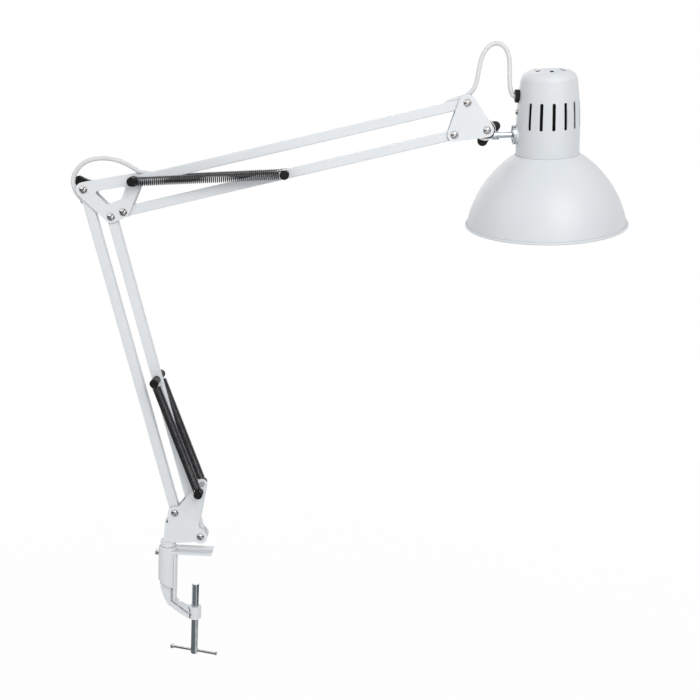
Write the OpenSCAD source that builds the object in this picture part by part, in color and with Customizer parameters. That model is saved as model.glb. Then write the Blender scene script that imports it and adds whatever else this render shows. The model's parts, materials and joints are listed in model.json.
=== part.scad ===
// Spring balanced clamp lamp: two parallelogram arms, a tilting metal shade
// and a screw clamp. Lengths are in millimetres. The frame has +Z up, +X from
// the clamp towards the shade, and +Y away from the viewer. The origin is on the
// underside of the upper jaw, over the axis of the clamp screw.

/* [Pose] */
// Lean of the lower arm to the left of upright, in degrees
lower_lean = 16; // [8:1:22]
// Rise of the upper arm above level, in degrees
upper_rise = 15.8; // [5:0.1:30]
// Turn of the head about the friction pivot, in degrees
head_turn = 5.3; // [-10:0.1:15]
// Tip of the head about the tilt rod, in degrees
head_tip = 8.4; // [-15:0.1:20]

/* [Arms] */
// Lower arm, pivot to pivot
lower_length = 358.5; // [320:0.5:400]
// Upper arm, pivot to pivot
upper_length = 347; // [310:1:390]
// Side of the square tubes
bar_w = 10; // [9:0.5:11]
// Wall of the square tubes
bar_wall = 1; // [0.8:0.1:1.4]
// Outer corner radius of the square tubes
bar_corner = 1.2; // [0.8:0.1:2]
// Radius of the rounded tube ends about their pivots
bar_end = 6.4; // [5.6:0.1:6.6]
// Sideways step from the first to the second pivot of the lower arm
link_dx = 28.2; // [26:0.1:31]
// Downward step from the first to the second pivot of the lower arm
link_drop = 26.3; // [24:0.1:28]
// Play between a sleeve and the tube that turns on it
pivot_play = 0.05; // [0.03:0.01:0.1]

/* [Pivots] */
// Diameter of the pivot screws
screw_d = 5; // [4:0.5:5]
// Diameter of the steel sleeve inside each tube end
sleeve_d = 7; // [6.5:0.5:7]
// Diameter of the washers beside the tubes
washer_d = 10.5; // [9:0.5:11]
// Thickness of a washer
washer_t = 0.8; // [0.5:0.1:1.2]
// Side play of a tube between its plates
side_play = 0.1; // [0.05:0.05:0.2]
// Diameter of the domed screw heads
head_d = 8.6; // [7.5:0.1:9]
// Height of the domed screw heads
head_h = 2.6; // [2:0.1:3]
// Width of the slot in the domed heads
slot_w = 1.2; // [0.8:0.1:1.6]
// Depth of the slot in the domed heads
slot_depth = 1.3; // [0.8:0.1:1.6]
// Turn of the slots as shown, in degrees
slot_turn = 52; // [0:1:180]

/* [Plates] */
// Sheet thickness of the elbow plates, the head plates and the base bracket
sheet = 1.5; // [1.2:0.1:2]
// From the upper left elbow pivot to the lower right one, sideways
elbow_c_dx = 40.7; // [38:0.1:44]
// From the upper left elbow pivot to the lower right one, downwards
elbow_c_drop = 20.8; // [19:0.1:24]
// From the upper left elbow pivot to the upper right one, sideways
elbow_d_dx = 51.6; // [49:0.1:55]
// From the upper left elbow pivot to the upper right one, upwards
elbow_d_rise = 11.3; // [8:0.1:13]
// Corner radius at the two upper elbow pivots
elbow_upper_r = 7.6; // [7:0.1:9]
// Corner radius at the two lower elbow pivots
elbow_lower_r = 6.3; // [6:0.1:7]
// Top strut of the elbow plate, inside its line of pivots
strut_top = 3.9; // [3:0.1:6]
// Left strut of the elbow plate, inside its line of pivots
strut_left = 6.3; // [4:0.1:8]
// Right strut of the elbow plate, inside its line of pivots
strut_right = 6; // [4:0.1:8]
// Foot of the elbow plate, above its line of pivots
strut_foot = 13; // [10:0.1:15]
// Corner radius of the elbow window
window_r = 1.5; // [1:0.1:3]
// From the upper head pivot to the friction pivot, sideways
friction_dx = 21.9; // [20:0.1:25]
// From the upper head pivot to the friction pivot, downwards
friction_drop = 25.9; // [22:0.1:28]
// Corner radius at the upper head pivot
head_plate_r1 = 8.6; // [8:0.1:10]
// Corner radius at the lower head pivot
head_plate_r2 = 7; // [6:0.1:8]
// Corner radius at the friction pivot
head_plate_r3 = 7; // [6:0.1:8]

/* [Base bracket] */
// Height of the first base pivot above the table
base_pivot_z = 47; // [46:0.5:52]
// First base pivot to the left of the clamp screw
base_pivot_left = 23.5; // [22:0.5:25]
// Corner radius at the first base pivot
bracket_r1 = 7.6; // [7:0.1:9]
// Corner radius at the second base pivot
bracket_r2 = 7.7; // [7:0.1:8]
// Left edge of the bracket, beyond the first base pivot
bracket_left = 12; // [11:0.5:13]
// Height of the bracket floor above the table
bracket_floor_z = 13; // [12:0.5:13.5]
// Distance of the ear fold from the line of the two base pivots
fold_offset = 9; // [8:0.5:10]
// Outward bend of the spring ears, in degrees
ear_bend = 11; // [6:1:13]
// Spring seat from the first base pivot, sideways
seat_dx = 26.5; // [25:0.1:28]
// Spring seat from the first base pivot, upwards
seat_rise = 27.5; // [26:0.1:29]
// Corner radius of the spring ears
ear_r = 6; // [5.5:0.1:7]

/* [Springs] */
// Distance of the springs from the middle plane
spring_y = 18; // [17.5:0.5:20]
// Mean diameter of the coils
coil_d = 8; // [7:0.1:8.5]
// Diameter of the spring wire
wire_d = 1.3; // [1:0.1:1.5]
// Curls of a lower spring
lower_curls = 19; // [12:1:20]
// Curls of an upper spring
upper_curls = 23; // [12:1:24]
// Peg on the lower right tube, from the second base pivot
lower_peg_at = 181.4; // [170:0.1:195]
// Peg on the lower tube of the upper arm, from its elbow pivot
upper_peg_at = 170.7; // [160:0.1:185]
// Diameter of the groove that a spring hook sits in
groove_d = 6.4; // [5.6:0.1:6.6]
// Diameter of the rim at the end of a peg
peg_rim_d = 9.4; // [8:0.1:9.8]
// Tip of a peg beyond the middle of its groove
peg_tip = 6; // [4:0.5:7]

/* [Clamp] */
// Diameter of the clamp screw
rod_d = 8; // [7:0.5:9]
// Length of the clamp screw
rod_length = 84; // [80:1:95]
// Opening between the jaw and the tip of the clamp screw as shown
opening = 37; // [30:1:45]
// Running play of the clamp screw in its boss
rod_play = 0.05; // [0.03:0.01:0.1]
// Diameter of the clamp boss
boss_d = 13.6; // [13:0.1:16]
// Height of the clamp boss
boss_h = 14; // [12:0.5:18]
// Depth of the boss top below the jaw
boss_depth = 64; // [60:1:70]
// Jaw length beyond the clamp screw
jaw_reach = 18.5; // [16:0.5:24]
// Width of the jaw plate
jaw_w = 20; // [16:1:21]
// Thickness of the jaw plate
jaw_t = 3; // [2.5:0.1:4]
// Thickness of the upright jaw rib
jaw_rib_w = 6; // [4:0.5:8]
// Distance from the clamp screw to the inner face of the frame
throat = 21.7; // [19:0.1:22.5]
// Diameter of the socket barrel
barrel_d = 21; // [20:0.5:22]
// Top of the barrel and jaw rib above the table
barrel_top = 6.5; // [6:0.1:7]
// Length of the barrel below the table top, at its middle
barrel_drop = 37; // [34:1:40]
// Distance from the clamp screw to the swivel axis
swivel_left = 31; // [30.5:0.1:31.5]
// Width of the lower arm of the clamp
arm_w = 12; // [10:0.5:13]
// Diameter of the tommy bar
tommy_d = 3.5; // [3:0.1:4]
// Length of the tommy bar between its ends
tommy_length = 50; // [40:1:60]
// Turn of the tommy bar towards the viewer, in degrees
tommy_turn = 15; // [0:1:40]
// Height of the tommy hole above the end of the screw
tommy_up = 3.8; // [3.5:0.1:6]

/* [Swivel] */
// Diameter of the swivel pin
post_d = 12; // [10:0.5:12]
// Radial play of the swivel pin
post_play = 0.05; // [0.03:0.01:0.1]
// Length of the swivel pin in the barrel
post_length = 34; // [28:1:36]
// Diameter of the flange over the barrel
flange_d = 17; // [15:0.5:19]
// Gap between the flange and the barrel
flange_gap = 0.3; // [0.2:0.1:0.5]

/* [Knobs] */
// Radius of the three lobed knobs at a lobe tip
knob_r = 16; // [14:0.5:17]
// Radius of each lobe
lobe_r = 4.5; // [4:0.1:5]
// Radius of a knob between two lobes
knob_valley = 7; // [6:0.1:8]
// Thickness of a knob
knob_t = 8; // [6:0.5:10]
// Turn of the elbow knob as shown, in degrees
elbow_knob_turn = 118; // [0:1:180]
// Turn of the head knob as shown, in degrees
head_knob_turn = 342; // [270:1:389]

/* [Head] */
// Diameter of the shade at its rim
shade_d = 169; // [160:1:180]
// Height of the shade from rim to neck
shade_h = 74.1; // [68:0.1:82]
// Radius of the shade at its neck opening
shade_neck_r = 33.1; // [32.6:0.1:35]
// Reach of the shade's curve away from the neck
neck_pull = 28.3; // [24:0.1:32]
// Fall of the shade's curve at the neck, in degrees
neck_fall = 33; // [28:1:44]
// Reach of the shade's curve above the rim
rim_pull = 33.3; // [24:0.1:36]
// Direction of the shade's curve above the rim, in degrees
rim_lean = 102.4; // [98:0.1:110]
// Wall of the shade and the neck
shell = 1; // [0.8:0.1:1.5]
// Radius of the rolled rim
rim_bead = 1.3; // [1:0.1:2]
// Height of the neck housing
neck_h = 83.6; // [76:0.1:92]
// Radius of the neck at its foot
neck_foot_r = 32.2; // [31:0.1:32.4]
// Radius of the neck below its shoulder
neck_top_r = 28.6; // [26:0.1:30]
// Radius of the shoulder
shoulder_r = 10.9; // [8:0.1:14]
// Rise of the crown above the shoulder
crown_h = 1.2; // [0.5:0.1:3]
// Distance from the friction pivot to the axis of the head
head_offset = 62.7; // [60:0.1:68]
// Rim below the friction pivot
rim_drop = 100.8; // [94:0.1:104]
// Width of a side vent
vent_w = 3.3; // [2.5:0.1:4]
// Length of a side vent
vent_h = 27; // [20:0.5:30]
// Top of the side vents above the foot of the neck
vent_top = 55; // [46:0.5:58]
// Number of vent places round the neck
vent_places = 16; // [12:2:20]
// Places left closed on the side of the arm
vent_closed = 3; // [3:2:5]
// Number of vents in the crown
crown_vents = 6; // [4:1:8]
// Inner end of a crown vent, from the axis
crown_vent_at = 11.5; // [9:0.5:13]
// Length of a crown vent
crown_vent_l = 5.5; // [4:0.5:7]
// Width of a crown vent
crown_vent_w = 3.6; // [2:0.1:4]

/* [Tilt joint] */
// Diameter of the friction disc between the head plates
disc_d = 20; // [18:0.5:21]
// Diameter of the tilt rod
tilt_rod_d = 6; // [5:0.5:6]
// Tilt rod below the friction pivot
rod_drop = 5.5; // [5.5:0.1:6.5]
// Diameter of the friction cup against the neck
cup_d = 20; // [16:0.5:22]
// Thickness of the friction cup
cup_t = 2.4; // [2:0.1:4]

/* [Lamp holder] */
// Inner radius of the screw shell
shell_bore_r = 13.3; // [13.1:0.05:13.5]
// Depth of the screw shell
shell_depth = 24; // [20:1:28]
// Outer diameter of the lamp holder
holder_d = 44; // [38:1:46]
// Height of the lamp holder
holder_h = 46; // [42:1:50]
// Holder foot above the neck opening of the shade
holder_rise = 6; // [4:0.5:8]
// Screw shell above the foot of the holder
shell_rise = 5; // [4:0.5:6]
// Height of the holder screw above the friction pivot
holder_screw_rise = 17; // [14:0.5:19]

/* [Lead] */
// Diameter of the round lead
lead_d = 4.6; // [4:0.1:4.8]
// Grommet below the top of the neck
grommet_down = 24; // [20:0.5:27]
// Diameter of the grommet flange
grommet_d = 13; // [12:0.5:15]

/* [Hidden] */

white = [0.87, 0.89, 0.90];
black = [0.07, 0.07, 0.08];
steel = [0.55, 0.58, 0.61];
chrome = [0.78, 0.79, 0.80];
spring_grey = [0.22, 0.22, 0.23];
bakelite = [0.10, 0.06, 0.05];
brass = [0.72, 0.6, 0.3];

round_fn = 96;
fine_fn = 48;
over = 1;

// Directions and pivots in the middle plane, as [x, z]
function dir(a) = [cos(a), sin(a)];
function turn(a) = [-sin(a), cos(a)];
function angle_of(v) = atan2(v[1], v[0]);
lower_angle = 90 + lower_lean;
p1 = [-base_pivot_left, base_pivot_z];
link = [link_dx, -link_drop];
p2 = p1 + link;
pa = p1 + lower_length * dir(lower_angle);
pb = pa + link;
pc = pa + [elbow_c_dx, -elbow_c_drop];
pd = pa + [elbow_d_dx, elbow_d_rise];
ph1 = pd + upper_length * dir(upper_rise);
ph2 = pc + upper_length * dir(upper_rise);
ph3 = ph1 + [friction_dx, -friction_drop];
lower_peg = p2 + lower_peg_at * dir(lower_angle);
upper_peg = pc + upper_peg_at * dir(upper_rise);
seat = p1 + [seat_dx, seat_rise];
swivel_x = -swivel_left;

plate_in = bar_w / 2 + washer_t + side_play;
plate_out = plate_in + sheet;
screw_r = screw_d / 2;
sleeve_r = sleeve_d / 2;
head_r = head_d / 2;
nut_h = 4;
nut_r = 4.6;
nut_gap = 0.7;
knob_in = plate_out + flange_gap;
peg_end = spring_y + peg_tip;
wire_r = wire_d / 2;
coil_r = coil_d / 2;
hook_r = groove_d / 2 + wire_r + 0.15;
neck_straight = 0.3;
holder_screw_r = 1.5;

// Placing and drawing in the plane of the arms
module at(p) translate([p[0], 0, p[1]]) children();
module along(p, a) at(p) rotate([0, -a, 0]) children();
module slab(y0, y1) translate([0, y1, 0]) rotate([90, 0, 0]) linear_extrude(y1 - y0) children();
module pin(p, r, y0, y1) at(p) translate([0, y1, 0]) rotate([90, 0, 0])
    cylinder(r = r, h = y1 - y0, $fn = fine_fn);
function arc(c, r, from, to, n) = [for (i = [0:n]) c + r * dir(from + (to - from) * i / n)];
// The outline of a belt round discs, each [centre, radius], taken counter-clockwise
function lean_off(a, b) = angle_of(b[0] - a[0]) - acos((a[1] - b[1]) / norm(b[0] - a[0]));
function belt(discs) = let (n = len(discs)) [for (i = [0:n - 1])
    let (from = lean_off(discs[(i + n - 1) % n], discs[i]), to = lean_off(discs[i], discs[(i + 1) % n]))
    each arc(discs[i][0], discs[i][1], from, from + ((to - from) % 360 + 360) % 360, 10)];
module strap(a, ra, b, rb) polygon(belt([[a, ra], [b, rb]]));
// Where two lines meet, each through two points and moved d to its left
function meet(a, b, d1, c, d, d2) =
    let (u = (b - a) / norm(b - a), v = (d - c) / norm(d - c),
        s = a + d1 * [-u[1], u[0]], t = c + d2 * [-v[1], v[0]],
        k = ((t[0] - s[0]) * v[1] - (t[1] - s[1]) * v[0]) / (u[0] * v[1] - u[1] * v[0]))
    s + k * u;

// Fasteners on a Y axis, with the head or the nut standing on a face
thread_play = 0.05;
module dome_screw(p, face, reach) {
    dome_r = (head_r * head_r + head_h * head_h) / (2 * head_h);
    at(p) rotate([90, 0, 0]) {
        difference() {
            translate([0, 0, face]) intersection() {
                translate([0, 0, head_h - dome_r]) sphere(dome_r, $fn = round_fn);
                cylinder(r = head_r, h = head_h, $fn = fine_fn);
            }
            rotate([0, 0, slot_turn]) translate([-head_r - over, -slot_w / 2, face + head_h - slot_depth])
                cube([2 * head_r + 2 * over, slot_w, slot_depth + over]);
        }
        translate([0, 0, -reach]) cylinder(r = screw_r, h = face + reach, $fn = fine_fn);
    }
}
module hex_nut(p, face, bore_r) at(p) translate([0, face + nut_h, 0]) rotate([90, 0, 0])
    difference() {
        cylinder(r = nut_r, h = nut_h, $fn = 6);
        translate([0, 0, -over]) cylinder(r = bore_r, h = nut_h + 2 * over, $fn = fine_fn);
    }
module sleeve_set(p) {
    difference() {
        union() {
            pin(p, sleeve_r, -plate_in, plate_in);
            for (side = [-1, 1])
                pin(p, washer_d / 2, side > 0 ? bar_w / 2 + side_play : -plate_in,
                    side > 0 ? plate_in : -bar_w / 2 - side_play);
        }
        pin(p, screw_r, -plate_in - over, plate_in + over);
    }
}

// Clamp frame: socket barrel, ribbed jaw, inner flange and lower arm in one casting
inner_x = -throat;
flange_t = 2;
flange_half = 8;
flange_x = inner_x - flange_t;
barrel_r = barrel_d / 2;
arm_half = arm_w / 2;
boss_r = boss_d / 2;
boss_top = -boss_depth;
boss_bottom = boss_top - boss_h;
pocket_top = -4;
web_foot = -40;
web_half = 4;
arm_from = -28;
module arm_outline() {
    left = swivel_x - barrel_r;
    polygon([[left + 2.7, arm_from], [left + 2.9, -36.4], [left + 4.5, -44.6], [left + 7.4, -52.9],
        [left + 12, -61.2], [left + 25.4, -71.2], [-boss_r + over, boss_bottom + 0.6],
        [-boss_r + over, boss_top - 3.3], [inner_x + 9.5, boss_top - 0.2],
        [inner_x + 3.9, boss_top + 2.8], [inner_x, boss_top + 7], [inner_x, arm_from]]);
}
module clamp_frame() color(white) {
    barrel_slope = 28;
    barrel_foot = -barrel_drop - 8;
    flange_drop = 54;
    jaw_bevel = 1;
    lip = 1.2;
    groove_w = 2.4;
    groove_depth = 3;
    groove_in = 3.9;
    groove_a = [inner_x - groove_in, -40];
    groove_b = [inner_x - groove_in, boss_top + 7.4];
    groove_c = [-boss_r + 2.4, boss_top - 8.6];
    difference() {
        union() {
            // Barrel, with a bevelled top and a slanted foot
            translate([swivel_x, 0, 0]) difference() {
                rotate_extrude($fn = round_fn) polygon([[0, barrel_foot], [barrel_r, barrel_foot],
                    [barrel_r, barrel_top - lip], [barrel_r - lip, barrel_top], [0, barrel_top]]);
                translate([0, 0, -barrel_drop]) rotate([0, barrel_slope, 0])
                    translate([-2 * barrel_d, -barrel_d, -barrel_d])
                        cube([4 * barrel_d, 2 * barrel_d, barrel_d]);
            }
            // Inner flange with its web to the barrel
            slab(-flange_half, flange_half) polygon([[flange_x, -flange_drop], [inner_x, -flange_drop],
                [inner_x, 0], [flange_x, 0]]);
            slab(-web_half, web_half) polygon([[swivel_x, web_foot], [inner_x - over, web_foot],
                [inner_x - over, 0], [swivel_x, 0]]);
            slab(-flange_half, flange_half) polygon([[swivel_x, pocket_top], [inner_x - over, pocket_top],
                [inner_x - over, 0], [swivel_x, 0]]);
            // Jaw plate and upright rib
            slab(-jaw_w / 2, jaw_w / 2) polygon([[swivel_x, 0], [jaw_reach - jaw_bevel, 0],
                [jaw_reach, jaw_t], [swivel_x, jaw_t]]);
            slab(-jaw_rib_w / 2, jaw_rib_w / 2) polygon([[swivel_x, jaw_t - over],
                [jaw_reach - jaw_bevel / 2, jaw_t - over], [jaw_reach + jaw_bevel / 2, barrel_top],
                [swivel_x, barrel_top]]);
            // Lower arm and boss
            slab(-arm_half, arm_half) arm_outline();
            translate([0, 0, boss_bottom]) cylinder(r = boss_r, h = boss_h, $fn = round_fn);
        }
        translate([swivel_x, 0, barrel_top - post_length - flange_gap])
            cylinder(r = post_d / 2 + post_play, h = post_length + flange_gap + over, $fn = round_fn);
        translate([0, 0, boss_bottom - over])
            cylinder(r = rod_d / 2 + rod_play, h = boss_h + 2 * over, $fn = round_fn);
        // Grooves that set the outer flange off from the inner rib
        for (side = [-1, 1]) {
            inner_y = side * (arm_half - groove_depth);
            slab(min(inner_y, side * (arm_half + over)), max(inner_y, side * (arm_half + over))) {
                strap(groove_a, groove_w / 2, groove_b, groove_w / 2);
                strap(groove_b, groove_w / 2, groove_c, groove_w / 2);
            }
        }
        // Tapped hole of the collar screw
        translate([swivel_x - barrel_r - over, 0, collar_z]) rotate([0, 90, 0])
            cylinder(r = collar_screw_r, h = barrel_r + over, $fn = fine_fn);
    }
}

// Collar screw that grips the swivel pin
collar_z = -1.6;
collar_screw_r = 2;
collar_head_r = 3.2;
collar_head_t = 3;
module collar_screw() color(chrome) {
    stand_off = 0.3;
    pin_gap = 0.5;
    shank = barrel_r + stand_off - post_d / 2 - pin_gap;
    cut_w = 1;
    cut_depth = 1.2;
    translate([swivel_x - barrel_r - stand_off, 0, collar_z]) rotate([0, 90, 0]) {
        difference() {
            translate([0, 0, -collar_head_t]) cylinder(r = collar_head_r, h = collar_head_t, $fn = fine_fn);
            translate([-collar_head_r - over, -cut_w / 2, -collar_head_t - over])
                cube([2 * collar_head_r + 2 * over, cut_w, cut_depth + over]);
        }
        cylinder(r = collar_screw_r - thread_play, h = shank, $fn = fine_fn);
    }
}

// Clamp screw with its tommy bar
rod_top = -opening;
rod_bottom = rod_top - rod_length;
tommy_z = rod_bottom + tommy_up;
tommy_hole_r = tommy_d / 2 + rod_play;
module clamp_screw() color(steel) {
    bevel = 0.6;
    rod_r = rod_d / 2;
    difference() {
        rotate_extrude($fn = round_fn) polygon([[0, rod_bottom], [rod_r - bevel, rod_bottom],
            [rod_r, rod_bottom + bevel], [rod_r, rod_top - bevel], [rod_r - bevel, rod_top], [0, rod_top]]);
        translate([0, 0, tommy_z]) rotate([0, 0, -tommy_turn]) rotate([0, 90, 0])
            cylinder(r = tommy_hole_r, h = 4 * rod_d, center = true, $fn = fine_fn);
    }
}
// Turned end cap of the tommy bar, sunk a little over the bar
module bar_cap(r, w) {
    bevel = 0.7;
    sink = 0.2;
    rotate_extrude($fn = fine_fn) polygon([[0, -sink], [r - bevel, -sink], [r, bevel],
        [r, w - bevel], [r - bevel, w], [0, w]]);
}
module tommy_bar() color(chrome) translate([0, 0, tommy_z]) rotate([0, 0, -tommy_turn]) rotate([0, 90, 0]) {
    cylinder(r = tommy_d / 2, h = tommy_length, center = true, $fn = fine_fn);
    translate([0, 0, -tommy_length / 2]) mirror([0, 0, 1]) bar_cap(2.8, 3.4);
    translate([0, 0, tommy_length / 2]) bar_cap(2.2, 2.2);
}

// Base bracket: a folded cradle with two cheeks, a back wall, a floor and bent ears
fold_angle = angle_of(link);
seat_u = (seat - p1) * dir(fold_angle);
seat_v = (seat - p1) * turn(fold_angle) - fold_offset;
ear_v = seat_v / cos(ear_bend);
ear_y = plate_in + sheet / 2 + seat_v * tan(ear_bend);
ear_left = -2.6;
ear_right = 27.5;
post_neck_r = 2.2;
peg_screw_r = 1.5;
module on_ear() along(p1, fold_angle) translate([0, plate_in + sheet / 2, fold_offset])
    rotate([-ear_bend, 0, 0]) children();
wall_left = p1[0] - bracket_left;
wall_in = wall_left + 1.8;
wall_top = p1[1] - 9;
floor_right = swivel_x + 14;
module cheek() {
    fold = fold_offset * turn(fold_angle);
    cheek_left = p1[0] - bracket_r1;
    relief = 2.5;
    difference() {
        slab(plate_in, plate_out) {
            strap(p1, bracket_r1, p2, bracket_r2);
            polygon([[wall_left, bracket_floor_z], [floor_right, bracket_floor_z],
                p2 + [2, -bracket_r2 + 2.6], p2, p1, [cheek_left, p1[1]], [cheek_left, wall_top],
                [wall_in, wall_top]]);
            polygon([p1, p1 + norm(link) * dir(fold_angle), p1 + ear_right * dir(fold_angle) + fold,
                p1 + ear_left * dir(fold_angle) + fold, p1 + ear_left * dir(fold_angle)]);
        }
        // Relief where the back wall folds out of the cheek
        translate([wall_in + 0.6, plate_in - over, wall_top - relief])
            cube([relief, sheet + 2 * over, relief]);
    }
}
module base_bracket() color(white) {
    difference() {
        union() {
            for (side = [0, 1]) mirror([0, side, 0]) {
                cheek();
                on_ear() {
                    difference() {
                        slab(-sheet / 2, sheet / 2) polygon(belt([[[ear_left + 0.4, 0.3], 0.4],
                            [[ear_right - 0.4, 0.3], 0.4], [[seat_u, ear_v], ear_r]]));
                        pin([seat_u, ear_v], peg_screw_r + thread_play, -sheet, sheet);
                    }
                    translate([ear_left + 0.2, 0, 0]) rotate([0, 90, 0])
                        cylinder(r = sheet / 2 + 0.06, h = ear_right - ear_left - 0.4, $fn = fine_fn);
                }
            }
            // Back wall and floor between the cheeks
            slab(-plate_in, plate_in) polygon([[wall_left, bracket_floor_z],
                [wall_left + sheet, bracket_floor_z], [wall_in + sheet, wall_top], [wall_in, wall_top]]);
            slab(-plate_in, plate_in) polygon([[wall_left, bracket_floor_z], [floor_right, bracket_floor_z],
                [floor_right, bracket_floor_z + sheet], [wall_left, bracket_floor_z + sheet]]);
        }
        for (p = [p1, p2]) pin(p, screw_r, -plate_out - over, plate_out + over);
        translate([swivel_x, 0, bracket_floor_z - over])
            cylinder(r = post_neck_r, h = sheet + 2 * over, $fn = fine_fn);
    }
}

// Swivel pin, riveted over the bracket floor
module swivel_post() color(steel) {
    rivet_r = swivel_x - (wall_left + sheet) - 0.4;
    rivet_h = 1.8;
    tip = 1;
    post_r = post_d / 2;
    low = barrel_top - post_length;
    flange_z = barrel_top + flange_gap;
    translate([swivel_x, 0, 0]) rotate_extrude($fn = round_fn) polygon([[0, low], [post_r - tip, low],
        [post_r, low + tip], [post_r, flange_z], [flange_d / 2, flange_z], [flange_d / 2, bracket_floor_z],
        [post_neck_r, bracket_floor_z], [post_neck_r, bracket_floor_z + sheet],
        [rivet_r, bracket_floor_z + sheet], [rivet_r - 0.6, bracket_floor_z + sheet + rivet_h],
        [0, bracket_floor_z + sheet + rivet_h]]);
}

module base_pivot_screws() color(chrome) for (p = [p1, p2])
    dome_screw(p, plate_out, plate_out + nut_h);
module base_pivot_nuts() color(steel) for (p = [p1, p2]) hex_nut(p, plate_out, screw_r);
module base_sleeves() color(steel) for (p = [p1, p2]) sleeve_set(p);

// A spring peg from its seat to its rim, on the far side
module spring_peg(p, y0, root_r) at(p) translate([0, y0, 0]) rotate([-90, 0, 0]) {
    groove_r = groove_d / 2;
    rim_r = peg_rim_d / 2;
    half = wire_d / 2 + 0.35;
    mid = spring_y - y0;
    rotate_extrude($fn = fine_fn) polygon([[0, 0], [root_r, 0], [root_r, mid - half - 1.2],
        [groove_r, mid - half], [groove_r, mid + half], [rim_r, mid + half + 0.8],
        [rim_r, peg_end - y0 - 0.8], [rim_r - 0.8, peg_end - y0], [0, peg_end - y0]]);
}
peg_screw_in = 6.5;
module base_spring_pegs() color(black) for (side = [0, 1]) mirror([0, side, 0]) difference() {
    spring_peg(seat, ear_y - 3, 4.6);
    on_ear() translate([-ear_right, -ear_right + sheet / 2, 0]) cube([3 * ear_right, ear_right, 2 * ear_v]);
    on_ear() pin([seat_u, ear_v], peg_screw_r, 0, peg_screw_in + 0.5);
}
module base_peg_screws() color(chrome) for (side = [0, 1]) mirror([0, side, 0]) on_ear()
    at([seat_u, ear_v]) rotate([90, 0, 0]) {
        foot_r = 3.4;
        face_r = 2.6;
        cap_t = 1.7;
        cut_w = 1;
        difference() {
            translate([0, 0, sheet / 2]) cylinder(r1 = foot_r, r2 = face_r, h = cap_t, $fn = fine_fn);
            translate([-foot_r, -cut_w / 2, sheet / 2 + cap_t / 2]) cube([2 * foot_r, cut_w, cap_t]);
        }
        translate([0, 0, -peg_screw_in])
            cylinder(r = peg_screw_r, h = peg_screw_in + sheet / 2, $fn = fine_fn);
    }

// Square tubes. The slots let the lead out of its tube.
module tube_section(w, r) {
    square([w - 2 * r, w], center = true);
    square([w, w - 2 * r], center = true);
    for (x = [-1, 1], y = [-1, 1]) translate([x * (w / 2 - r), y * (w / 2 - r)]) circle(r, $fn = fine_fn);
}
module tube(length) difference() {
    intersection() {
        translate([-bar_end - over, 0, 0]) rotate([90, 0, 90])
            linear_extrude(length + 2 * bar_end + 2 * over) difference() {
                tube_section(bar_w, bar_corner);
                tube_section(bar_w - 2 * bar_wall, max(bar_corner - bar_wall, 0.5));
            }
        slab(-bar_w, bar_w) strap([0, 0], bar_end, [length, 0], bar_end);
    }
    for (x = [0, length]) pin([x, 0], sleeve_r + pivot_play, -bar_w, bar_w);
}
lead_slot_w = lead_d + 0.8;
module lead_slot(from, to) translate([from, -lead_slot_w / 2, bar_w / 2 - bar_wall - over])
    cube([to - from, lead_slot_w, bar_wall + 2 * over]);
module lower_left_tube() color(white) along(p1, lower_angle) {
    foot_slot = [8, 22];
    top_slot = [26, 7];
    difference() {
        tube(lower_length);
        lead_slot(foot_slot[0], foot_slot[1]);
        lead_slot(lower_length - top_slot[0], lower_length - top_slot[1]);
    }
}
module lower_right_tube() color(white) along(p2, lower_angle) difference() {
    tube(lower_length);
    pin([lower_peg_at, 0], screw_r, -bar_w, bar_w);
}
module upper_top_tube() color(white) along(pd, upper_rise) {
    elbow_slot = [6, 24];
    head_slot = 25;
    difference() {
        tube(upper_length);
        lead_slot(elbow_slot[0], elbow_slot[1]);
        lead_slot(upper_length - head_slot, upper_length + bar_end + over);
    }
}
module upper_bottom_tube() color(white) along(pc, upper_rise) difference() {
    tube(upper_length);
    pin([upper_peg_at, 0], screw_r, -bar_w, bar_w);
}

// Pegs on both sides of a tube, with their stud through it
module tube_pegs(p) {
    for (side = [0, 1]) mirror([0, side, 0]) spring_peg(p, bar_w / 2, 4.2);
    pin(p, screw_r, -bar_w / 2 - over, bar_w / 2 + over);
}
module lower_spring_pegs() color(black) tube_pegs(lower_peg);
module upper_spring_pegs() color(black) tube_pegs(upper_peg);

// Elbow: two triangular ring plates with four pivots
module elbow_outline() {
    r = window_r;
    top = strut_top + r;
    left = strut_left + r;
    right = strut_right + r;
    foot = strut_foot + r;
    window = [meet(pa, pb, left, pd, pa, top), meet(pa, pb, left, pb, pc, foot),
        meet(pc, pd, right, pb, pc, foot), meet(pc, pd, right, pd, pa, top)];
    difference() {
        polygon(belt([[pa, elbow_upper_r], [pb, elbow_lower_r], [pc, elbow_lower_r], [pd, elbow_upper_r]]));
        polygon(belt([for (p = window) [p, r]]));
    }
}
module elbow_plate() difference() {
    slab(plate_in, plate_out) elbow_outline();
    for (p = [pa, pb, pc, pd]) pin(p, screw_r, 0, plate_out + over);
}
module elbow_plate_front() color(white) mirror([0, 1, 0]) elbow_plate();
module elbow_plate_rear() color(white) elbow_plate();
module elbow_pivot_screws() color(chrome) {
    for (p = [pb, pc]) dome_screw(p, plate_out, plate_out + nut_h);
    dome_screw(pa, plate_out, knob_in + knob_t - 1.5);
}
module elbow_pivot_nuts() color(steel) for (p = [pb, pc]) hex_nut(p, plate_out, screw_r);
module elbow_sleeves() color(steel) for (p = [pa, pb, pc, pd]) sleeve_set(p);
module elbow_spring_pegs() color(black) {
    for (side = [0, 1]) mirror([0, side, 0]) spring_peg(pd, plate_out, 5.2);
    pin(pd, screw_r, -plate_out - over, plate_out + over);
}

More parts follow.
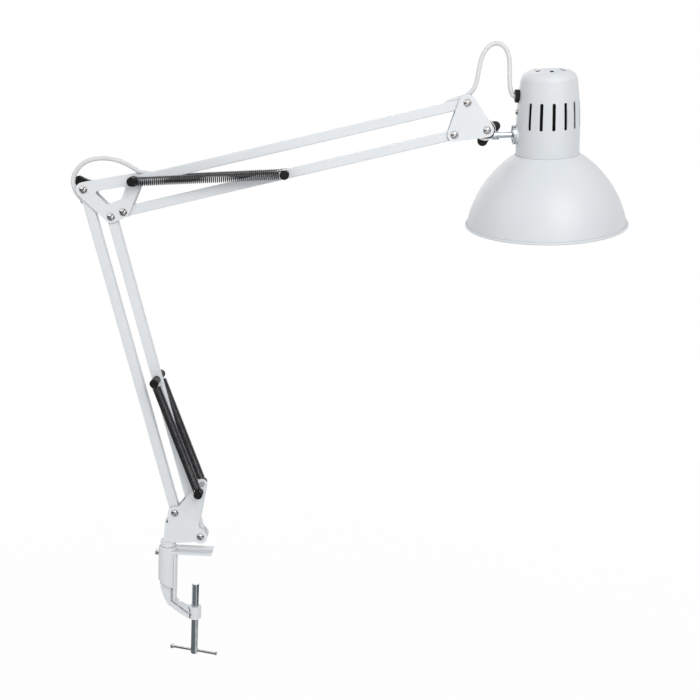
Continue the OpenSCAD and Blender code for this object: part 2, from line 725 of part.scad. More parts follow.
// Three lobed knob behind a plate
module knob(p, first) {
    reach = knob_r - lobe_r;
    drop = knob_valley - lobe_r;
    hollow_at = (reach * reach - drop * drop) / (reach - 2 * drop);
    hollow_r = hollow_at - knob_valley;
    near = lobe_r / (lobe_r + hollow_r);
    hub_r = 7.4;
    hub_t = 1.6;
    at(p) translate([0, knob_in, 0]) rotate([-90, 0, 0]) difference() {
        union() {
            cylinder(r = hub_r, h = knob_t + hub_t, $fn = fine_fn);
            translate([0, 0, hub_t]) linear_extrude(knob_t) difference() {
                union() {
                    for (i = [0:2]) translate(reach * dir(first + 120 * i)) circle(lobe_r, $fn = fine_fn);
                    polygon([for (i = [0:2], s = [-1, 1]) let (c = reach * dir(first + 120 * i),
                        h = hollow_at * dir(first + 120 * i + 60 * s)) c + near * (h - c)]);
                }
                for (i = [0:2]) translate(hollow_at * dir(first + 60 + 120 * i))
                    circle(hollow_r, $fn = round_fn);
            }
        }
        translate([0, 0, -over]) cylinder(r = screw_r + 0.05, h = knob_t + over, $fn = fine_fn);
    }
}
module elbow_knob() color(black) knob(pa, elbow_knob_turn);
module head_knob() color(black) knob(ph3, head_knob_turn);

// Head plates, with the friction bolt through the third corner
module head_plate() difference() {
    slab(plate_in, plate_out)
        polygon(belt([[ph1, head_plate_r1], [ph2, head_plate_r2], [ph3, head_plate_r3]]));
    for (p = [ph1, ph2, ph3]) pin(p, screw_r, 0, plate_out + over);
}
module head_plate_front() color(white) mirror([0, 1, 0]) head_plate();
module head_plate_rear() color(white) head_plate();
module head_pivot_screws() color(chrome) for (p = [ph1, ph2])
    dome_screw(p, plate_out, plate_out + nut_h);
module head_pivot_nuts() color(steel) for (p = [ph1, ph2]) hex_nut(p, plate_out, screw_r);
module head_sleeves() color(steel) for (p = [ph1, ph2]) sleeve_set(p);
module friction_bolt() color(chrome) dome_screw(ph3, plate_out, knob_in + knob_t - 1.5);

// Friction disc and tilt rod, which turn with the head about the friction pivot
module on_friction() at(ph3) rotate([0, -head_turn, 0]) children();
module on_rod(x) translate([x, 0, -rod_drop]) rotate([0, 90, 0]) children();
disc_half = plate_in - side_play;
disc_r = disc_d / 2;
rod_from = 3;
tilt_r = tilt_rod_d / 2;
rod_thread_r = tilt_r - 0.6;
rod_boss_end = disc_r + 1.2;
cup_gap = 1.4;
neck_wall_x = head_offset - neck_radius(rim_drop - rod_drop - shade_h);
cup_x = neck_wall_x - cup_gap - cup_t;
module friction_disc() color(black) on_friction() difference() {
    boss_wall = 1.4;
    union() {
        pin([0, 0], disc_r, -disc_half, disc_half);
        on_rod(0) cylinder(r = tilt_r + boss_wall, h = rod_boss_end, $fn = fine_fn);
    }
    pin([0, 0], screw_r + pivot_play, -disc_half - over, disc_half + over);
    on_rod(rod_from) cylinder(r = tilt_r, h = disc_r, $fn = fine_fn);
}
module tilt_rod() color(steel) on_friction() {
    collar_r = tilt_r + 1.6;
    collar_t = 1.3;
    cup_wall = 1.4;
    hub_r = 5;
    thread_l = 9;
    on_rod(rod_from) cylinder(r = tilt_r, h = cup_x - rod_from + cup_t, $fn = fine_fn);
    on_rod(rod_boss_end) cylinder(r = collar_r, h = collar_t, $fn = fine_fn);
    on_rod(cup_x) difference() {
        cylinder(r = cup_d / 2, h = cup_t, $fn = round_fn);
        translate([0, 0, -over]) difference() {
            cylinder(r = cup_d / 2 - cup_wall, h = over + cup_t / 2, $fn = round_fn);
            cylinder(r = hub_r, h = over + cup_t / 2, $fn = fine_fn);
        }
    }
    on_rod(cup_x + cup_t) cylinder(r = rod_thread_r, h = cup_gap + thread_l, $fn = fine_fn);
}

// The head: everything here turns about the tilt rod
module on_head() on_friction() translate([0, 0, -rod_drop]) rotate([head_tip, 0, 0])
    translate([0, 0, rod_drop]) children();
module on_axis() on_head() translate([head_offset, 0, -rim_drop]) children();
// Outer radius of the neck at a height over its foot: straight below, drawn in above
function neck_radius(h) = let (t = max(0, h / (neck_h - shoulder_r) - neck_straight) / (1 - neck_straight))
    neck_foot_r + (neck_top_r - neck_foot_r) * t * t;
function neck_side(grow) = let (n = 10) [for (i = [0:n]) let (h = i * (neck_h - shoulder_r) / n)
    [neck_radius(h) - grow, shade_h + h]];
function shoulder(grow) = let (n = 8) [for (i = [1:n]) let (a = 90 * i / n, r = shoulder_r - grow)
    [neck_top_r - shoulder_r + r * cos(a), shade_h + neck_h - shoulder_r + r * sin(a)]];
function crown(grow) = let (z = shade_h + neck_h + crown_h - grow)
    [[neck_top_r - shoulder_r - 8, z - 0.2], [0, z]];
function back(pts) = [for (i = [len(pts) - 1:-1:0]) pts[i]];
// A hole through the neck wall on the side of the arm, at a height above the rim
module neck_hole(z, r) translate([-neck_foot_r - over, 0, z]) rotate([0, 90, 0])
    cylinder(r = r, h = neck_foot_r, $fn = fine_fn);
foot_lap = 3;
module neck_housing() color(white) on_axis() difference() {
    vents = vent_places - vent_closed;
    vent_z = shade_h + vent_top - vent_h / 2;
    vent_ends = [-1, 1] * (vent_h - vent_w) / 2;
    crown_z = shade_h + neck_h + crown_h;
    rotate_extrude($fn = round_fn) polygon(concat([[neck_foot_r - shell, shade_h - foot_lap],
        [neck_foot_r, shade_h - foot_lap]], neck_side(0), shoulder(0), crown(0), back(crown(shell)),
        back(shoulder(shell)), back(neck_side(shell))));
    for (i = [0:vents - 1]) rotate([0, 0, (i - (vents - 1) / 2) * 360 / vent_places]) {
        translate([neck_foot_r / 2, -vent_w / 2, vent_z + vent_ends[0]])
            cube([neck_foot_r, vent_w, vent_ends[1] - vent_ends[0]]);
        for (z = vent_ends) translate([neck_foot_r / 2, 0, vent_z + z]) rotate([0, 90, 0])
            cylinder(r = vent_w / 2, h = neck_foot_r, $fn = fine_fn);
    }
    // One crown vent points at the viewer
    for (i = [0:crown_vents - 1]) rotate([0, 0, 360 * i / crown_vents - 90])
        translate([crown_vent_at, -crown_vent_w / 2, crown_z - 2 * shell - over])
            cube([crown_vent_l, crown_vent_w, 2 * shell + 2 * over]);
    neck_hole(rim_drop - rod_drop, rod_thread_r + pivot_play);
    neck_hole(rim_drop + grommet_rise, grommet_neck_r);
    neck_hole(rim_drop + holder_screw_rise, holder_screw_r + thread_play);
}

// Spun shade: a bell curve from the neck opening to the rolled rim
shade_r = shade_d / 2;
bead_centre = [shade_r - rim_bead, rim_bead];
bead_from = 120;
function bezier(a, b, c, d, t) = let (u = 1 - t)
    u * u * u * a + 3 * t * u * u * b + 3 * t * t * u * c + t * t * t * d;
function bowl_point(t) = let (a = [shade_neck_r, shade_h], d = bead_centre + rim_bead * dir(bead_from))
    bezier(a, a + neck_pull * dir(-neck_fall), d + rim_pull * dir(rim_lean), d, t);
function bowl_inside(t) = let (w = bowl_point(min(1, t + 0.01)) - bowl_point(max(0, t - 0.01)))
    bowl_point(t) + shell / norm(w) * [w[1], -w[0]];
module shade_bowl() color(white) on_axis() {
    n = 20;
    inner_r = neck_foot_r + 0.02;
    rotate_extrude($fn = round_fn) polygon(concat([[inner_r, shade_h - foot_lap], [inner_r, shade_h]],
        [for (i = [0:n - 1]) bowl_point(i / n)], arc(bead_centre, rim_bead, bead_from, -195, 16),
        [for (i = [n - 1:-1:1]) bowl_inside(i / n)]));
}

// Seat pressed against the neck for the friction cup, and the nut inside
module cup_seat() color(white) on_head() difference() {
    rim_in = 0.5;
    reach = 4;
    on_rod(cup_x + cup_t) cylinder(r = cup_d / 2 - rim_in, h = reach, $fn = round_fn);
    translate([head_offset, 0, -rim_drop]) rotate_extrude($fn = round_fn)
        polygon(concat([[0, shade_h]], neck_side(0), [[0, shade_h + neck_h]]));
    on_rod(cup_x) cylinder(r = rod_thread_r + pivot_play, h = 2 * reach + cup_t, $fn = fine_fn);
}
module rod_nut() color(steel) on_friction() on_rod(neck_wall_x + shell + nut_gap) difference() {
    cylinder(r = nut_r, h = nut_h, $fn = 6);
    translate([0, 0, -over]) cylinder(r = rod_thread_r, h = nut_h + 2 * over, $fn = fine_fn);
}

// Rubber grommet in the neck wall
grommet_rise = shade_h + neck_h - rim_drop - grommet_down;
grommet_neck_r = lead_d / 2 + 2.3;
grommet_x = head_offset - neck_radius(rim_drop + grommet_rise - shade_h);
grommet_out = 3.6;
module neck_wall() translate([head_offset, 0, -rim_drop]) rotate_extrude($fn = round_fn)
    polygon(concat(neck_side(0), back(neck_side(shell))));
module on_grommet(x) translate([grommet_x + x, 0, grommet_rise]) rotate([0, 90, 0]) children();
module grommet() color(black) on_head() difference() {
    inner_flange = shell + 0.8;
    flange_t = 2;
    flange_r = grommet_d / 2;
    union() {
        difference() {
            union() {
                on_grommet(-grommet_out) cylinder(r = flange_r, h = grommet_out + 0.3, $fn = fine_fn);
                on_grommet(inner_flange) cylinder(r = flange_r - 1, h = flange_t, $fn = fine_fn);
            }
            neck_wall();
        }
        on_grommet(0) cylinder(r = grommet_neck_r - 0.05, h = inner_flange + flange_t, $fn = fine_fn);
    }
    on_grommet(-2 * grommet_out) cylinder(r = lead_d / 2 + 0.1, h = 6 * grommet_out, $fn = fine_fn);
}

// Lamp holder on a bracket inside the neck
holder_foot = shade_h + holder_rise;
holder_r = holder_d / 2;
holder_top = holder_foot + holder_h;
holder_screw_z = rim_drop + holder_screw_rise;
shell_r = shell_bore_r + 1.15;
contact_gap = 1;
contact_t = 2.5;
well_depth = shell_rise + shell_depth + contact_gap + contact_t;
module holder_bracket() color(steel) on_axis() difference() {
    strap_w = 12;
    strap_t = 1.5;
    strap_foot = holder_screw_z - strap_w / 2;
    cap_reach = 8;
    seat_gap = 0.05;
    strap_x = shell + 1.1 - neck_radius(holder_screw_z - shade_h);
    union() {
        translate([strap_x, -strap_w / 2, holder_top + seat_gap])
            cube([cap_reach - strap_x, strap_w, strap_t]);
        translate([strap_x, -strap_w / 2, strap_foot])
            cube([strap_t, strap_w, holder_top + strap_t - strap_foot]);
    }
    neck_hole(holder_screw_z, holder_screw_r);
    translate([0, 0, holder_top - over]) cylinder(r = 4, h = strap_t + 3 * over, $fn = fine_fn);
}
module holder_screw() color(chrome) on_axis()
    translate([-neck_radius(holder_screw_z - shade_h) - flange_gap, 0, holder_screw_z]) rotate([0, 90, 0]) {
        cap_t = 1.6;
        translate([0, 0, -cap_t]) cylinder(r1 = 2.2, r2 = 3, h = cap_t, $fn = fine_fn);
        cylinder(r = holder_screw_r, h = 6, $fn = fine_fn);
    }
module lamp_holder() color(bakelite) on_axis() difference() {
    ring_h = 24;
    neck_in = 3;
    top_in = 8;
    rotate_extrude($fn = round_fn) polygon([[0, holder_foot], [holder_r - 1, holder_foot],
        [holder_r, holder_foot + 1], [holder_r, holder_foot + ring_h],
        [holder_r - neck_in, holder_foot + ring_h + 3], [holder_r - neck_in - 2, holder_top - 3],
        [holder_r - top_in, holder_top], [0, holder_top]]);
    translate([0, 0, holder_foot - over])
        cylinder(r = shell_r + thread_play, h = well_depth + over, $fn = round_fn);
    translate([0, 0, holder_foot + well_depth - over]) cylinder(r = 3, h = holder_h, $fn = fine_fn);
}
module screw_shell() color(chrome) on_axis() translate([0, 0, holder_foot + shell_rise]) difference() {
    cylinder(r = shell_r, h = shell_depth, $fn = round_fn);
    translate([0, 0, -over]) cylinder(r = shell_bore_r, h = shell_depth + 2 * over, $fn = round_fn);
}
module centre_contact() color(brass) on_axis() translate([0, 0, holder_foot + well_depth - contact_t]) {
    tongue = [4, 12, 1.5];
    cylinder(r = 5, h = contact_t, $fn = fine_fn);
    translate([-tongue[0] / 2, -tongue[1] / 2, contact_t - tongue[2]]) cube(tongue);
}

// Tension springs: one unbroken wire from hook to hook
hook_gap = 6.4;
function hook(x, from, to) = let (n = 6) [for (i = [0:n]) let (a = from + (to - from) * i / n)
    [x + hook_r * cos(a), hook_r * sin(a), 0]];
function coils(from, to, curls) = let (n = 8 * curls) [for (i = [0:n]) let (a = 360 * i * curls / n)
    [from + (to - from) * i / n, coil_r * cos(a), coil_r * sin(a)]];
function spring_path(length, curls) = concat(hook(0, 245, 90), coils(hook_gap, length - hook_gap, curls),
    hook(length, 90, -65));
function straight_ends(pts, d) = let (n = len(pts) - 1)
    concat([pts[0] + d * unit(pts[0] - pts[1])], pts, [pts[n] + d * unit(pts[n] - pts[n - 1])]);
// A tube of flat sided rings along the points [from] to [to], each ring square to the path
function unit(v) = v / norm(v);
function way(pts, i) = let (n = len(pts) - 1) i == 0 ? unit(pts[1] - pts[0])
    : i == n ? unit(pts[n] - pts[n - 1]) : unit(unit(pts[i + 1] - pts[i]) + unit(pts[i] - pts[i - 1]));
function ring(p, t, side, r, sides) = let (u = unit(cross(t, side)), v = cross(t, u))
    [for (k = [0:sides - 1]) p + r * (cos(360 * k / sides) * u + sin(360 * k / sides) * v)];
module sweep(pts, from, to, r, sides, side) {
    n = to - from + 1;
    rings = [for (i = [from:to]) each ring(pts[i], way(pts, i), side(pts, i), r, sides)];
    walls = [for (i = [0:n - 2], k = [0:sides - 1]) let (a = i * sides + k, b = i * sides + (k + 1) % sides)
        each [[a, b, b + sides], [a, b + sides, a + sides]]];
    foot = [for (k = [1:sides - 2]) [0, k + 1, k]];
    top = (n - 1) * sides;
    cap = [for (k = [1:sides - 2]) [top, top + k, top + k + 1]];
    polyhedron(rings, concat(walls, foot, cap));
}
module spring(a, b, y, curls) {
    length = norm(b - a);
    path = straight_ends(spring_path(length, curls), wire_d);
    axis_side = function(pts, i) let (p = pts[i], t = way(pts, i))
        abs(t[0]) > 0.9 ? [0, 0, 1] : [1, 0, 0];
    along(a, angle_of(b - a)) translate([0, y, 0]) rotate([90, 0, 0])
        sweep(path, 0, len(path) - 1, wire_r, 6, axis_side);
}
// Least distance between stretches of the wire that don't follow each other
function self_gap(length, curls) = let (pts = straight_ends(spring_path(length, curls), wire_d),
        n = len(pts))
    min([for (i = [0:n - 5], j = [i + 4:n - 1]) norm(pts[i] - pts[j])]) - wire_d;
echo(least_spring_gap = min(self_gap(norm(lower_peg - seat), lower_curls),
    self_gap(norm(upper_peg - pd), upper_curls)));
module lower_spring_front() color(spring_grey) spring(seat, lower_peg, -spring_y, lower_curls);
module lower_spring_rear() color(spring_grey) spring(seat, lower_peg, spring_y, lower_curls);
module upper_spring_front() color(spring_grey) spring(pd, upper_peg, -spring_y, upper_curls);
module upper_spring_rear() color(spring_grey) spring(pd, upper_peg, spring_y, upper_curls);

// The lead: the points of its route, in the order that it runs. Each piece ends on a
// ring that it shares with the next, turned by the neighbour's point beyond it.
lower_run = [[-30, 0, 68], [-33, 0, 76], [-36.5, 0, 91], [-108, 0, 342], [-111, 0, 352], [-114.5, 0, 364]];
elbow_left_run = [[-114.5, 0, 364], [-117.4, 0, 371], [-121.4, 0, 377.5], [-127.4, 0, 383.6],
    [-131.8, 0, 389.6], [-134.2, 0, 397], [-133.4, 0, 404.3], [-130.2, 0, 411], [-124.5, 0, 417.3],
    [-116.5, 0, 421.7], [-106.7, 0, 423.8]];
elbow_right_run = [[-106.7, 0, 423.8], [-96.6, 0, 423.8], [-86.7, 0, 422], [-78.6, 0, 418.8],
    [-72, 0, 415.2], [-66.5, 0, 412.4], [-61.7, 0, 411.6]];
upper_run = [[-61.7, 0, 411.6], [-57.1, 0, 411.2], [-52.6, 0, 410.9], [-48, 0, 410.9], [-43, 0, 411.4],
    [-37, 0, 412.6], [-22.6, 0, 416.5], [228.5, 0, 487.6], [234.2, 0, 489.4], [237.9, 0, 491.3],
    [240.9, 0, 493.6], [243.3, 0, 496]];
head_bar_run = [[243.3, 0, 496], [246.3, 0, 498.2], [250.5, 0, 499.8], [255.3, 0, 501.4], [259.6, 0, 503.1],
    [263.6, 0, 505.6], [267.8, 0, 509.5], [270.7, 0, 515]];
head_top_run = [[270.7, 0, 515], [272.3, 0, 522.3], [273.2, 0, 530.5], [274.4, 0, 539.3], [276.8, 0, 547],
    [280.9, 0, 553.1], [286.6, 0, 556.7]];
head_neck_run = [[286.6, 0, 556.7], [292.3, -0.6, 556.7], [297.2, -1.4, 553.7], [300.6, -2.3, 548.4],
    [302.6, -3.2, 541], [303.6, -4.1, 531.5], [304.2, -5, 521.8], [305.6, -5.4, 513.8],
    [307.8, -5.6, 508]];
function second(run) = [run[1]];
function last(run) = [run[len(run) - 1]];
function last_but_one(run) = [run[len(run) - 2]];
module lead(run, before = [], after = []) color(white) sweep(concat(before, run, after), len(before),
    len(before) + len(run) - 1, lead_d / 2, 8, function(pts, i) [0, 1, 0]);
module lead_lower() lead(lower_run, after = second(elbow_left_run));
module lead_elbow_left() lead(elbow_left_run, last_but_one(lower_run), second(elbow_right_run));
module lead_elbow_right() lead(elbow_right_run, last_but_one(elbow_left_run), second(upper_run));
module lead_upper() lead(upper_run, last_but_one(elbow_right_run), second(head_bar_run));
module lead_head_bar() lead(head_bar_run, last_but_one(upper_run), second(head_top_run));
module lead_head_top() lead(head_top_run, last_but_one(head_bar_run), second(head_neck_run));
function on_head_point(p) = let (z = p[2] + rod_drop, y = p[1] * cos(head_tip) - z * sin(head_tip),
        h = p[1] * sin(head_tip) + z * cos(head_tip) - rod_drop)
    [ph3[0] + p[0] * cos(head_turn) - h * sin(head_turn), y,
        ph3[1] + p[0] * sin(head_turn) + h * cos(head_turn)];
inner_run = let (entry = [grommet_x - grommet_out, 0, grommet_rise], well = holder_top - rim_drop)
    [entry, entry + [9, 0, 0], entry + [16, 0, 1], entry + [23, 0, 1],
        [head_offset - 5, 0, grommet_rise - 1.5], [head_offset - 1, 0, well + 3],
        [head_offset, 0, well - 2]];
module lead_head_neck() lead(concat(head_neck_run, [on_head_point(inner_run[0])]),
    last_but_one(head_top_run), [on_head_point(inner_run[1])]);
module lead_inner() lead([for (p = inner_run) on_head_point(p)], last(head_neck_run));

clamp_frame();
collar_screw();
clamp_screw();
tommy_bar();
base_bracket();
swivel_post();
base_pivot_screws();
base_pivot_nuts();
base_sleeves();
base_spring_pegs();
base_peg_screws();
lower_left_tube();
lower_right_tube();
lower_spring_pegs();
elbow_plate_front();
elbow_plate_rear();
elbow_pivot_screws();
elbow_pivot_nuts();
elbow_sleeves();
elbow_spring_pegs();
elbow_knob();
upper_top_tube();
upper_bottom_tube();
upper_spring_pegs();
head_plate_front();
head_plate_rear();
head_pivot_screws();
head_pivot_nuts();
head_sleeves();
friction_bolt();
head_knob();
friction_disc();
tilt_rod();
neck_housing();
shade_bowl();
cup_seat();
rod_nut();
grommet();
holder_bracket();
holder_screw();
lamp_holder();
screw_shell();
centre_contact();
lower_spring_front();
lower_spring_rear();
upper_spring_front();
upper_spring_rear();
lead_lower();
lead_elbow_left();
lead_elbow_right();
lead_upper();
lead_head_bar();
lead_head_top();
lead_head_neck();
lead_inner();
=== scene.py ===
import json
import math

import bmesh
import bpy
from mathutils import Matrix, Vector


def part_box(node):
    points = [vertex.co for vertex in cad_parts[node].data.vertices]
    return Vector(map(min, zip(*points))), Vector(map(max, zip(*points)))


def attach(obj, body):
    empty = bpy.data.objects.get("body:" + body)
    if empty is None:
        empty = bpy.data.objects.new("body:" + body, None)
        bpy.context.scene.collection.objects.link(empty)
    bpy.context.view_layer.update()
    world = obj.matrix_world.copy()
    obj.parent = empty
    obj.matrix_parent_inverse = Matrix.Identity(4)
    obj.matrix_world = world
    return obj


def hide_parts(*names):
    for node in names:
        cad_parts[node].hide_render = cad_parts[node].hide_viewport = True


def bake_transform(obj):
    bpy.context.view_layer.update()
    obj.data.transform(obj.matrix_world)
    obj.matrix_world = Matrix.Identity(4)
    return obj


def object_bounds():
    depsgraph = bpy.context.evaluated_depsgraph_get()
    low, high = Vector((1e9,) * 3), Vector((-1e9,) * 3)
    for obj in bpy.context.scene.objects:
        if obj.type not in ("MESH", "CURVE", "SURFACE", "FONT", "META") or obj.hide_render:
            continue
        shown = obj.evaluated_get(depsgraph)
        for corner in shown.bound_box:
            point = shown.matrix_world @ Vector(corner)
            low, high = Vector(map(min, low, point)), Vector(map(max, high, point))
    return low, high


# Everything is in metres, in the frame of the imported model: +Z up, the arms
# in the plane of X and Z, and the viewer on the -Y side.
MM = 0.001

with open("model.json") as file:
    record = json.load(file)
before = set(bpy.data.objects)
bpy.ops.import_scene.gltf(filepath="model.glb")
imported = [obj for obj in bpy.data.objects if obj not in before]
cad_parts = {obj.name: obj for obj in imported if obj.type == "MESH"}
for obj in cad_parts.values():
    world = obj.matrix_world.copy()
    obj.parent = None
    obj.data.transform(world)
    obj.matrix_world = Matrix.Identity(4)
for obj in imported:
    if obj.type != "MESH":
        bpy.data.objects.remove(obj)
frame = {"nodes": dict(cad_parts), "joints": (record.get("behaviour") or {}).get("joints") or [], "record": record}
CAD_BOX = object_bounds()
NODES = frame["nodes"]
JOINTS = {joint["name"]: joint for joint in frame["joints"]}


# Camera

CAMERA_PLACE = Vector((0.1369, -1.138, 0.4833))
CAMERA_YAW = math.radians(1.064)
CAMERA_DROP = math.radians(12.252)
CAMERA_ROLL = math.radians(2.927)
CAMERA_LENS = 56.45
SENSOR_WIDTH = 36.0


def make_camera():
    """The camera at the photograph's place, turned to the side, down and about its own axis."""
    yaw, drop, roll = CAMERA_YAW, CAMERA_DROP, CAMERA_ROLL
    ahead = Vector((math.sin(yaw) * math.cos(drop), math.cos(yaw) * math.cos(drop), -math.sin(drop)))
    level = Vector((math.cos(yaw), -math.sin(yaw), 0.0))
    upright = level.cross(ahead)
    right = level * math.cos(roll) + upright * math.sin(roll)
    up = upright * math.cos(roll) - level * math.sin(roll)
    data = bpy.data.cameras.new("camera")
    data.lens = CAMERA_LENS
    data.sensor_width = SENSOR_WIDTH
    camera = bpy.data.objects.new("camera", data)
    bpy.context.scene.collection.objects.link(camera)
    turned = Matrix((right, up, -ahead)).transposed().to_4x4()
    camera.matrix_world = Matrix.Translation(CAMERA_PLACE) @ turned
    bpy.context.scene.camera = camera


make_camera()


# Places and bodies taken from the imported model

def joint_place(name):
    return Vector(JOINTS[name]["pos_m"])


ELBOW_KNOB_PIVOT = joint_place("elbow_level")
ELBOW_PEG = joint_place("upper_top_pivot")
FRICTION_PIVOT = joint_place("head_tilt")


def middle(node):
    low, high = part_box(node)
    return (low + high) / 2


def body_of_node(node):
    for body, members in frame["record"]["behaviour"]["bodies"].items():
        if node in members:
            return body
    return None


def new_piece(name, mesh, material, body=None):
    piece = bpy.data.objects.new(name, mesh)
    bpy.context.scene.collection.objects.link(piece)
    piece.data.materials.append(material)
    if body:
        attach(piece, body)
    return piece


# Shader node groups shared by the materials

def group_shell(name, inputs, outputs):
    group = bpy.data.node_groups.new(name, "ShaderNodeTree")
    for label, kind, value in inputs:
        socket = group.interface.new_socket(label, in_out="INPUT", socket_type=kind)
        socket.default_value = value
    for label, kind in outputs:
        group.interface.new_socket(label, in_out="OUTPUT", socket_type=kind)
    return group, group.nodes.new("NodeGroupInput"), group.nodes.new("NodeGroupOutput")


def add_math(tree, operation, first, second):
    node = tree.nodes.new("ShaderNodeMath")
    node.operation = operation
    for socket, value in zip(node.inputs, (first, second)):
        if isinstance(value, (int, float)):
            socket.default_value = value
        else:
            tree.links.new(value, socket)
    return node.outputs[0]


def add_noise(tree, coordinates, scale, detail=2.0, roughness=0.5):
    node = tree.nodes.new("ShaderNodeTexNoise")
    node.inputs["Detail"].default_value = detail
    node.inputs["Roughness"].default_value = roughness
    tree.links.new(coordinates, node.inputs["Vector"])
    if isinstance(scale, (int, float)):
        node.inputs["Scale"].default_value = scale
    else:
        tree.links.new(scale, node.inputs["Scale"])
    return node.outputs["Fac"]


def add_bump(tree, height, distance, strength):
    node = tree.nodes.new("ShaderNodeBump")
    node.inputs["Distance"].default_value = distance
    tree.links.new(strength, node.inputs["Strength"])
    tree.links.new(height, node.inputs["Height"])
    return node.outputs["Normal"]


def blend_colour(tree, factor, first, second):
    node = tree.nodes.new("ShaderNodeMix")
    node.data_type = "RGBA"
    for socket, value in ((node.inputs[0], factor), (node.inputs[6], first), (node.inputs[7], second)):
        if isinstance(value, tuple):
            socket.default_value = value
        else:
            tree.links.new(value, socket)
    return node.outputs[2]


def spread(tree, value, given, wanted=(0.0, 1.0)):
    """Spreads a value from the given range over the wanted one, and keeps it inside."""
    node = tree.nodes.new("ShaderNodeMapRange")
    node.inputs["From Min"].default_value, node.inputs["From Max"].default_value = given
    node.inputs["To Min"].default_value, node.inputs["To Max"].default_value = wanted
    tree.links.new(value, node.inputs["Value"])
    return node.outputs["Result"]


def between(tree, share, low, high):
    """The value at a share of the way from low to high."""
    span = add_math(tree, "SUBTRACT", high, low)
    return add_math(tree, "ADD", low, add_math(tree, "MULTIPLY", share, span))


PEBBLE_DEPTH = 0.4 * MM
LINE_DEPTH = 0.1 * MM
GRAIN_DEPTH = 0.2 * MM


def orange_peel_group():
    """Sprayed coating: a fine pebbled skin, faint cloudiness and a few dust nibs."""
    group, inside, outside = group_shell("sprayed_skin", [
        ("Colour", "NodeSocketColor", (0.8, 0.8, 0.8, 1.0)),
        ("Shade Colour", "NodeSocketColor", (0.7, 0.7, 0.7, 1.0)),
        ("Pebble Scale", "NodeSocketFloat", 900.0),
        ("Pebble Strength", "NodeSocketFloat", 0.1),
        ("Gloss Low", "NodeSocketFloat", 0.3),
        ("Gloss High", "NodeSocketFloat", 0.42),
    ], [("Colour", "NodeSocketColor"), ("Roughness", "NodeSocketFloat"), ("Normal", "NodeSocketVector")])
    place = group.nodes.new("ShaderNodeTexCoord").outputs["Object"]
    cloud_mask = spread(group, add_noise(group, place, scale=14.0, detail=3.0), (0.35, 0.7))
    nib_mask = spread(group, add_noise(group, place, scale=420.0, detail=1.0), (0.77, 0.83), (0.0, 0.35))
    colour = blend_colour(group, cloud_mask, inside.outputs["Colour"], inside.outputs["Shade Colour"])
    colour = blend_colour(group, nib_mask, colour, inside.outputs["Shade Colour"])
    pebbles = add_noise(group, place, inside.outputs["Pebble Scale"])
    normal = add_bump(group, pebbles, PEBBLE_DEPTH, inside.outputs["Pebble Strength"])
    rough = between(group, add_noise(group, place, scale=60.0, detail=3.0),
                    inside.outputs["Gloss Low"], inside.outputs["Gloss High"])
    group.links.new(colour, outside.inputs["Colour"])
    group.links.new(rough, outside.inputs["Roughness"])
    group.links.new(normal, outside.inputs["Normal"])
    return group


def turned_metal_group():
    """Turned or drawn metal: fine lines along one direction, stains and small scratches."""
    group, inside, outside = group_shell("turned_lines", [
        ("Colour", "NodeSocketColor", (0.6, 0.6, 0.6, 1.0)),
        ("Stain Colour", "NodeSocketColor", (0.35, 0.35, 0.36, 1.0)),
        ("Stain", "NodeSocketFloat", 0.4),
        ("Line Scale", "NodeSocketVector", (60.0, 60.0, 2200.0)),
        ("Line Strength", "NodeSocketFloat", 0.2),
        ("Gloss Low", "NodeSocketFloat", 0.2),
        ("Gloss High", "NodeSocketFloat", 0.4),
    ], [("Colour", "NodeSocketColor"), ("Roughness", "NodeSocketFloat"), ("Normal", "NodeSocketVector")])
    place = group.nodes.new("ShaderNodeTexCoord").outputs["Object"]
    stretch = group.nodes.new("ShaderNodeVectorMath")
    stretch.operation = "MULTIPLY"
    group.links.new(place, stretch.inputs[0])
    group.links.new(inside.outputs["Line Scale"], stretch.inputs[1])
    lines = add_noise(group, stretch.outputs[0], scale=1.0, detail=3.0, roughness=0.65)
    stains = spread(group, add_noise(group, place, scale=130.0, detail=4.0, roughness=0.6), (0.42, 0.66))
    stain_mask = add_math(group, "MULTIPLY", stains, inside.outputs["Stain"])
    colour = blend_colour(group, stain_mask, inside.outputs["Colour"], inside.outputs["Stain Colour"])
    worn = add_math(group, "MULTIPLY", lines, add_math(group, "ADD", stains, 0.5))
    rough = between(group, worn, inside.outputs["Gloss Low"], inside.outputs["Gloss High"])
    normal = add_bump(group, lines, LINE_DEPTH, inside.outputs["Line Strength"])
    group.links.new(colour, outside.inputs["Colour"])
    group.links.new(rough, outside.inputs["Roughness"])
    group.links.new(normal, outside.inputs["Normal"])
    return group


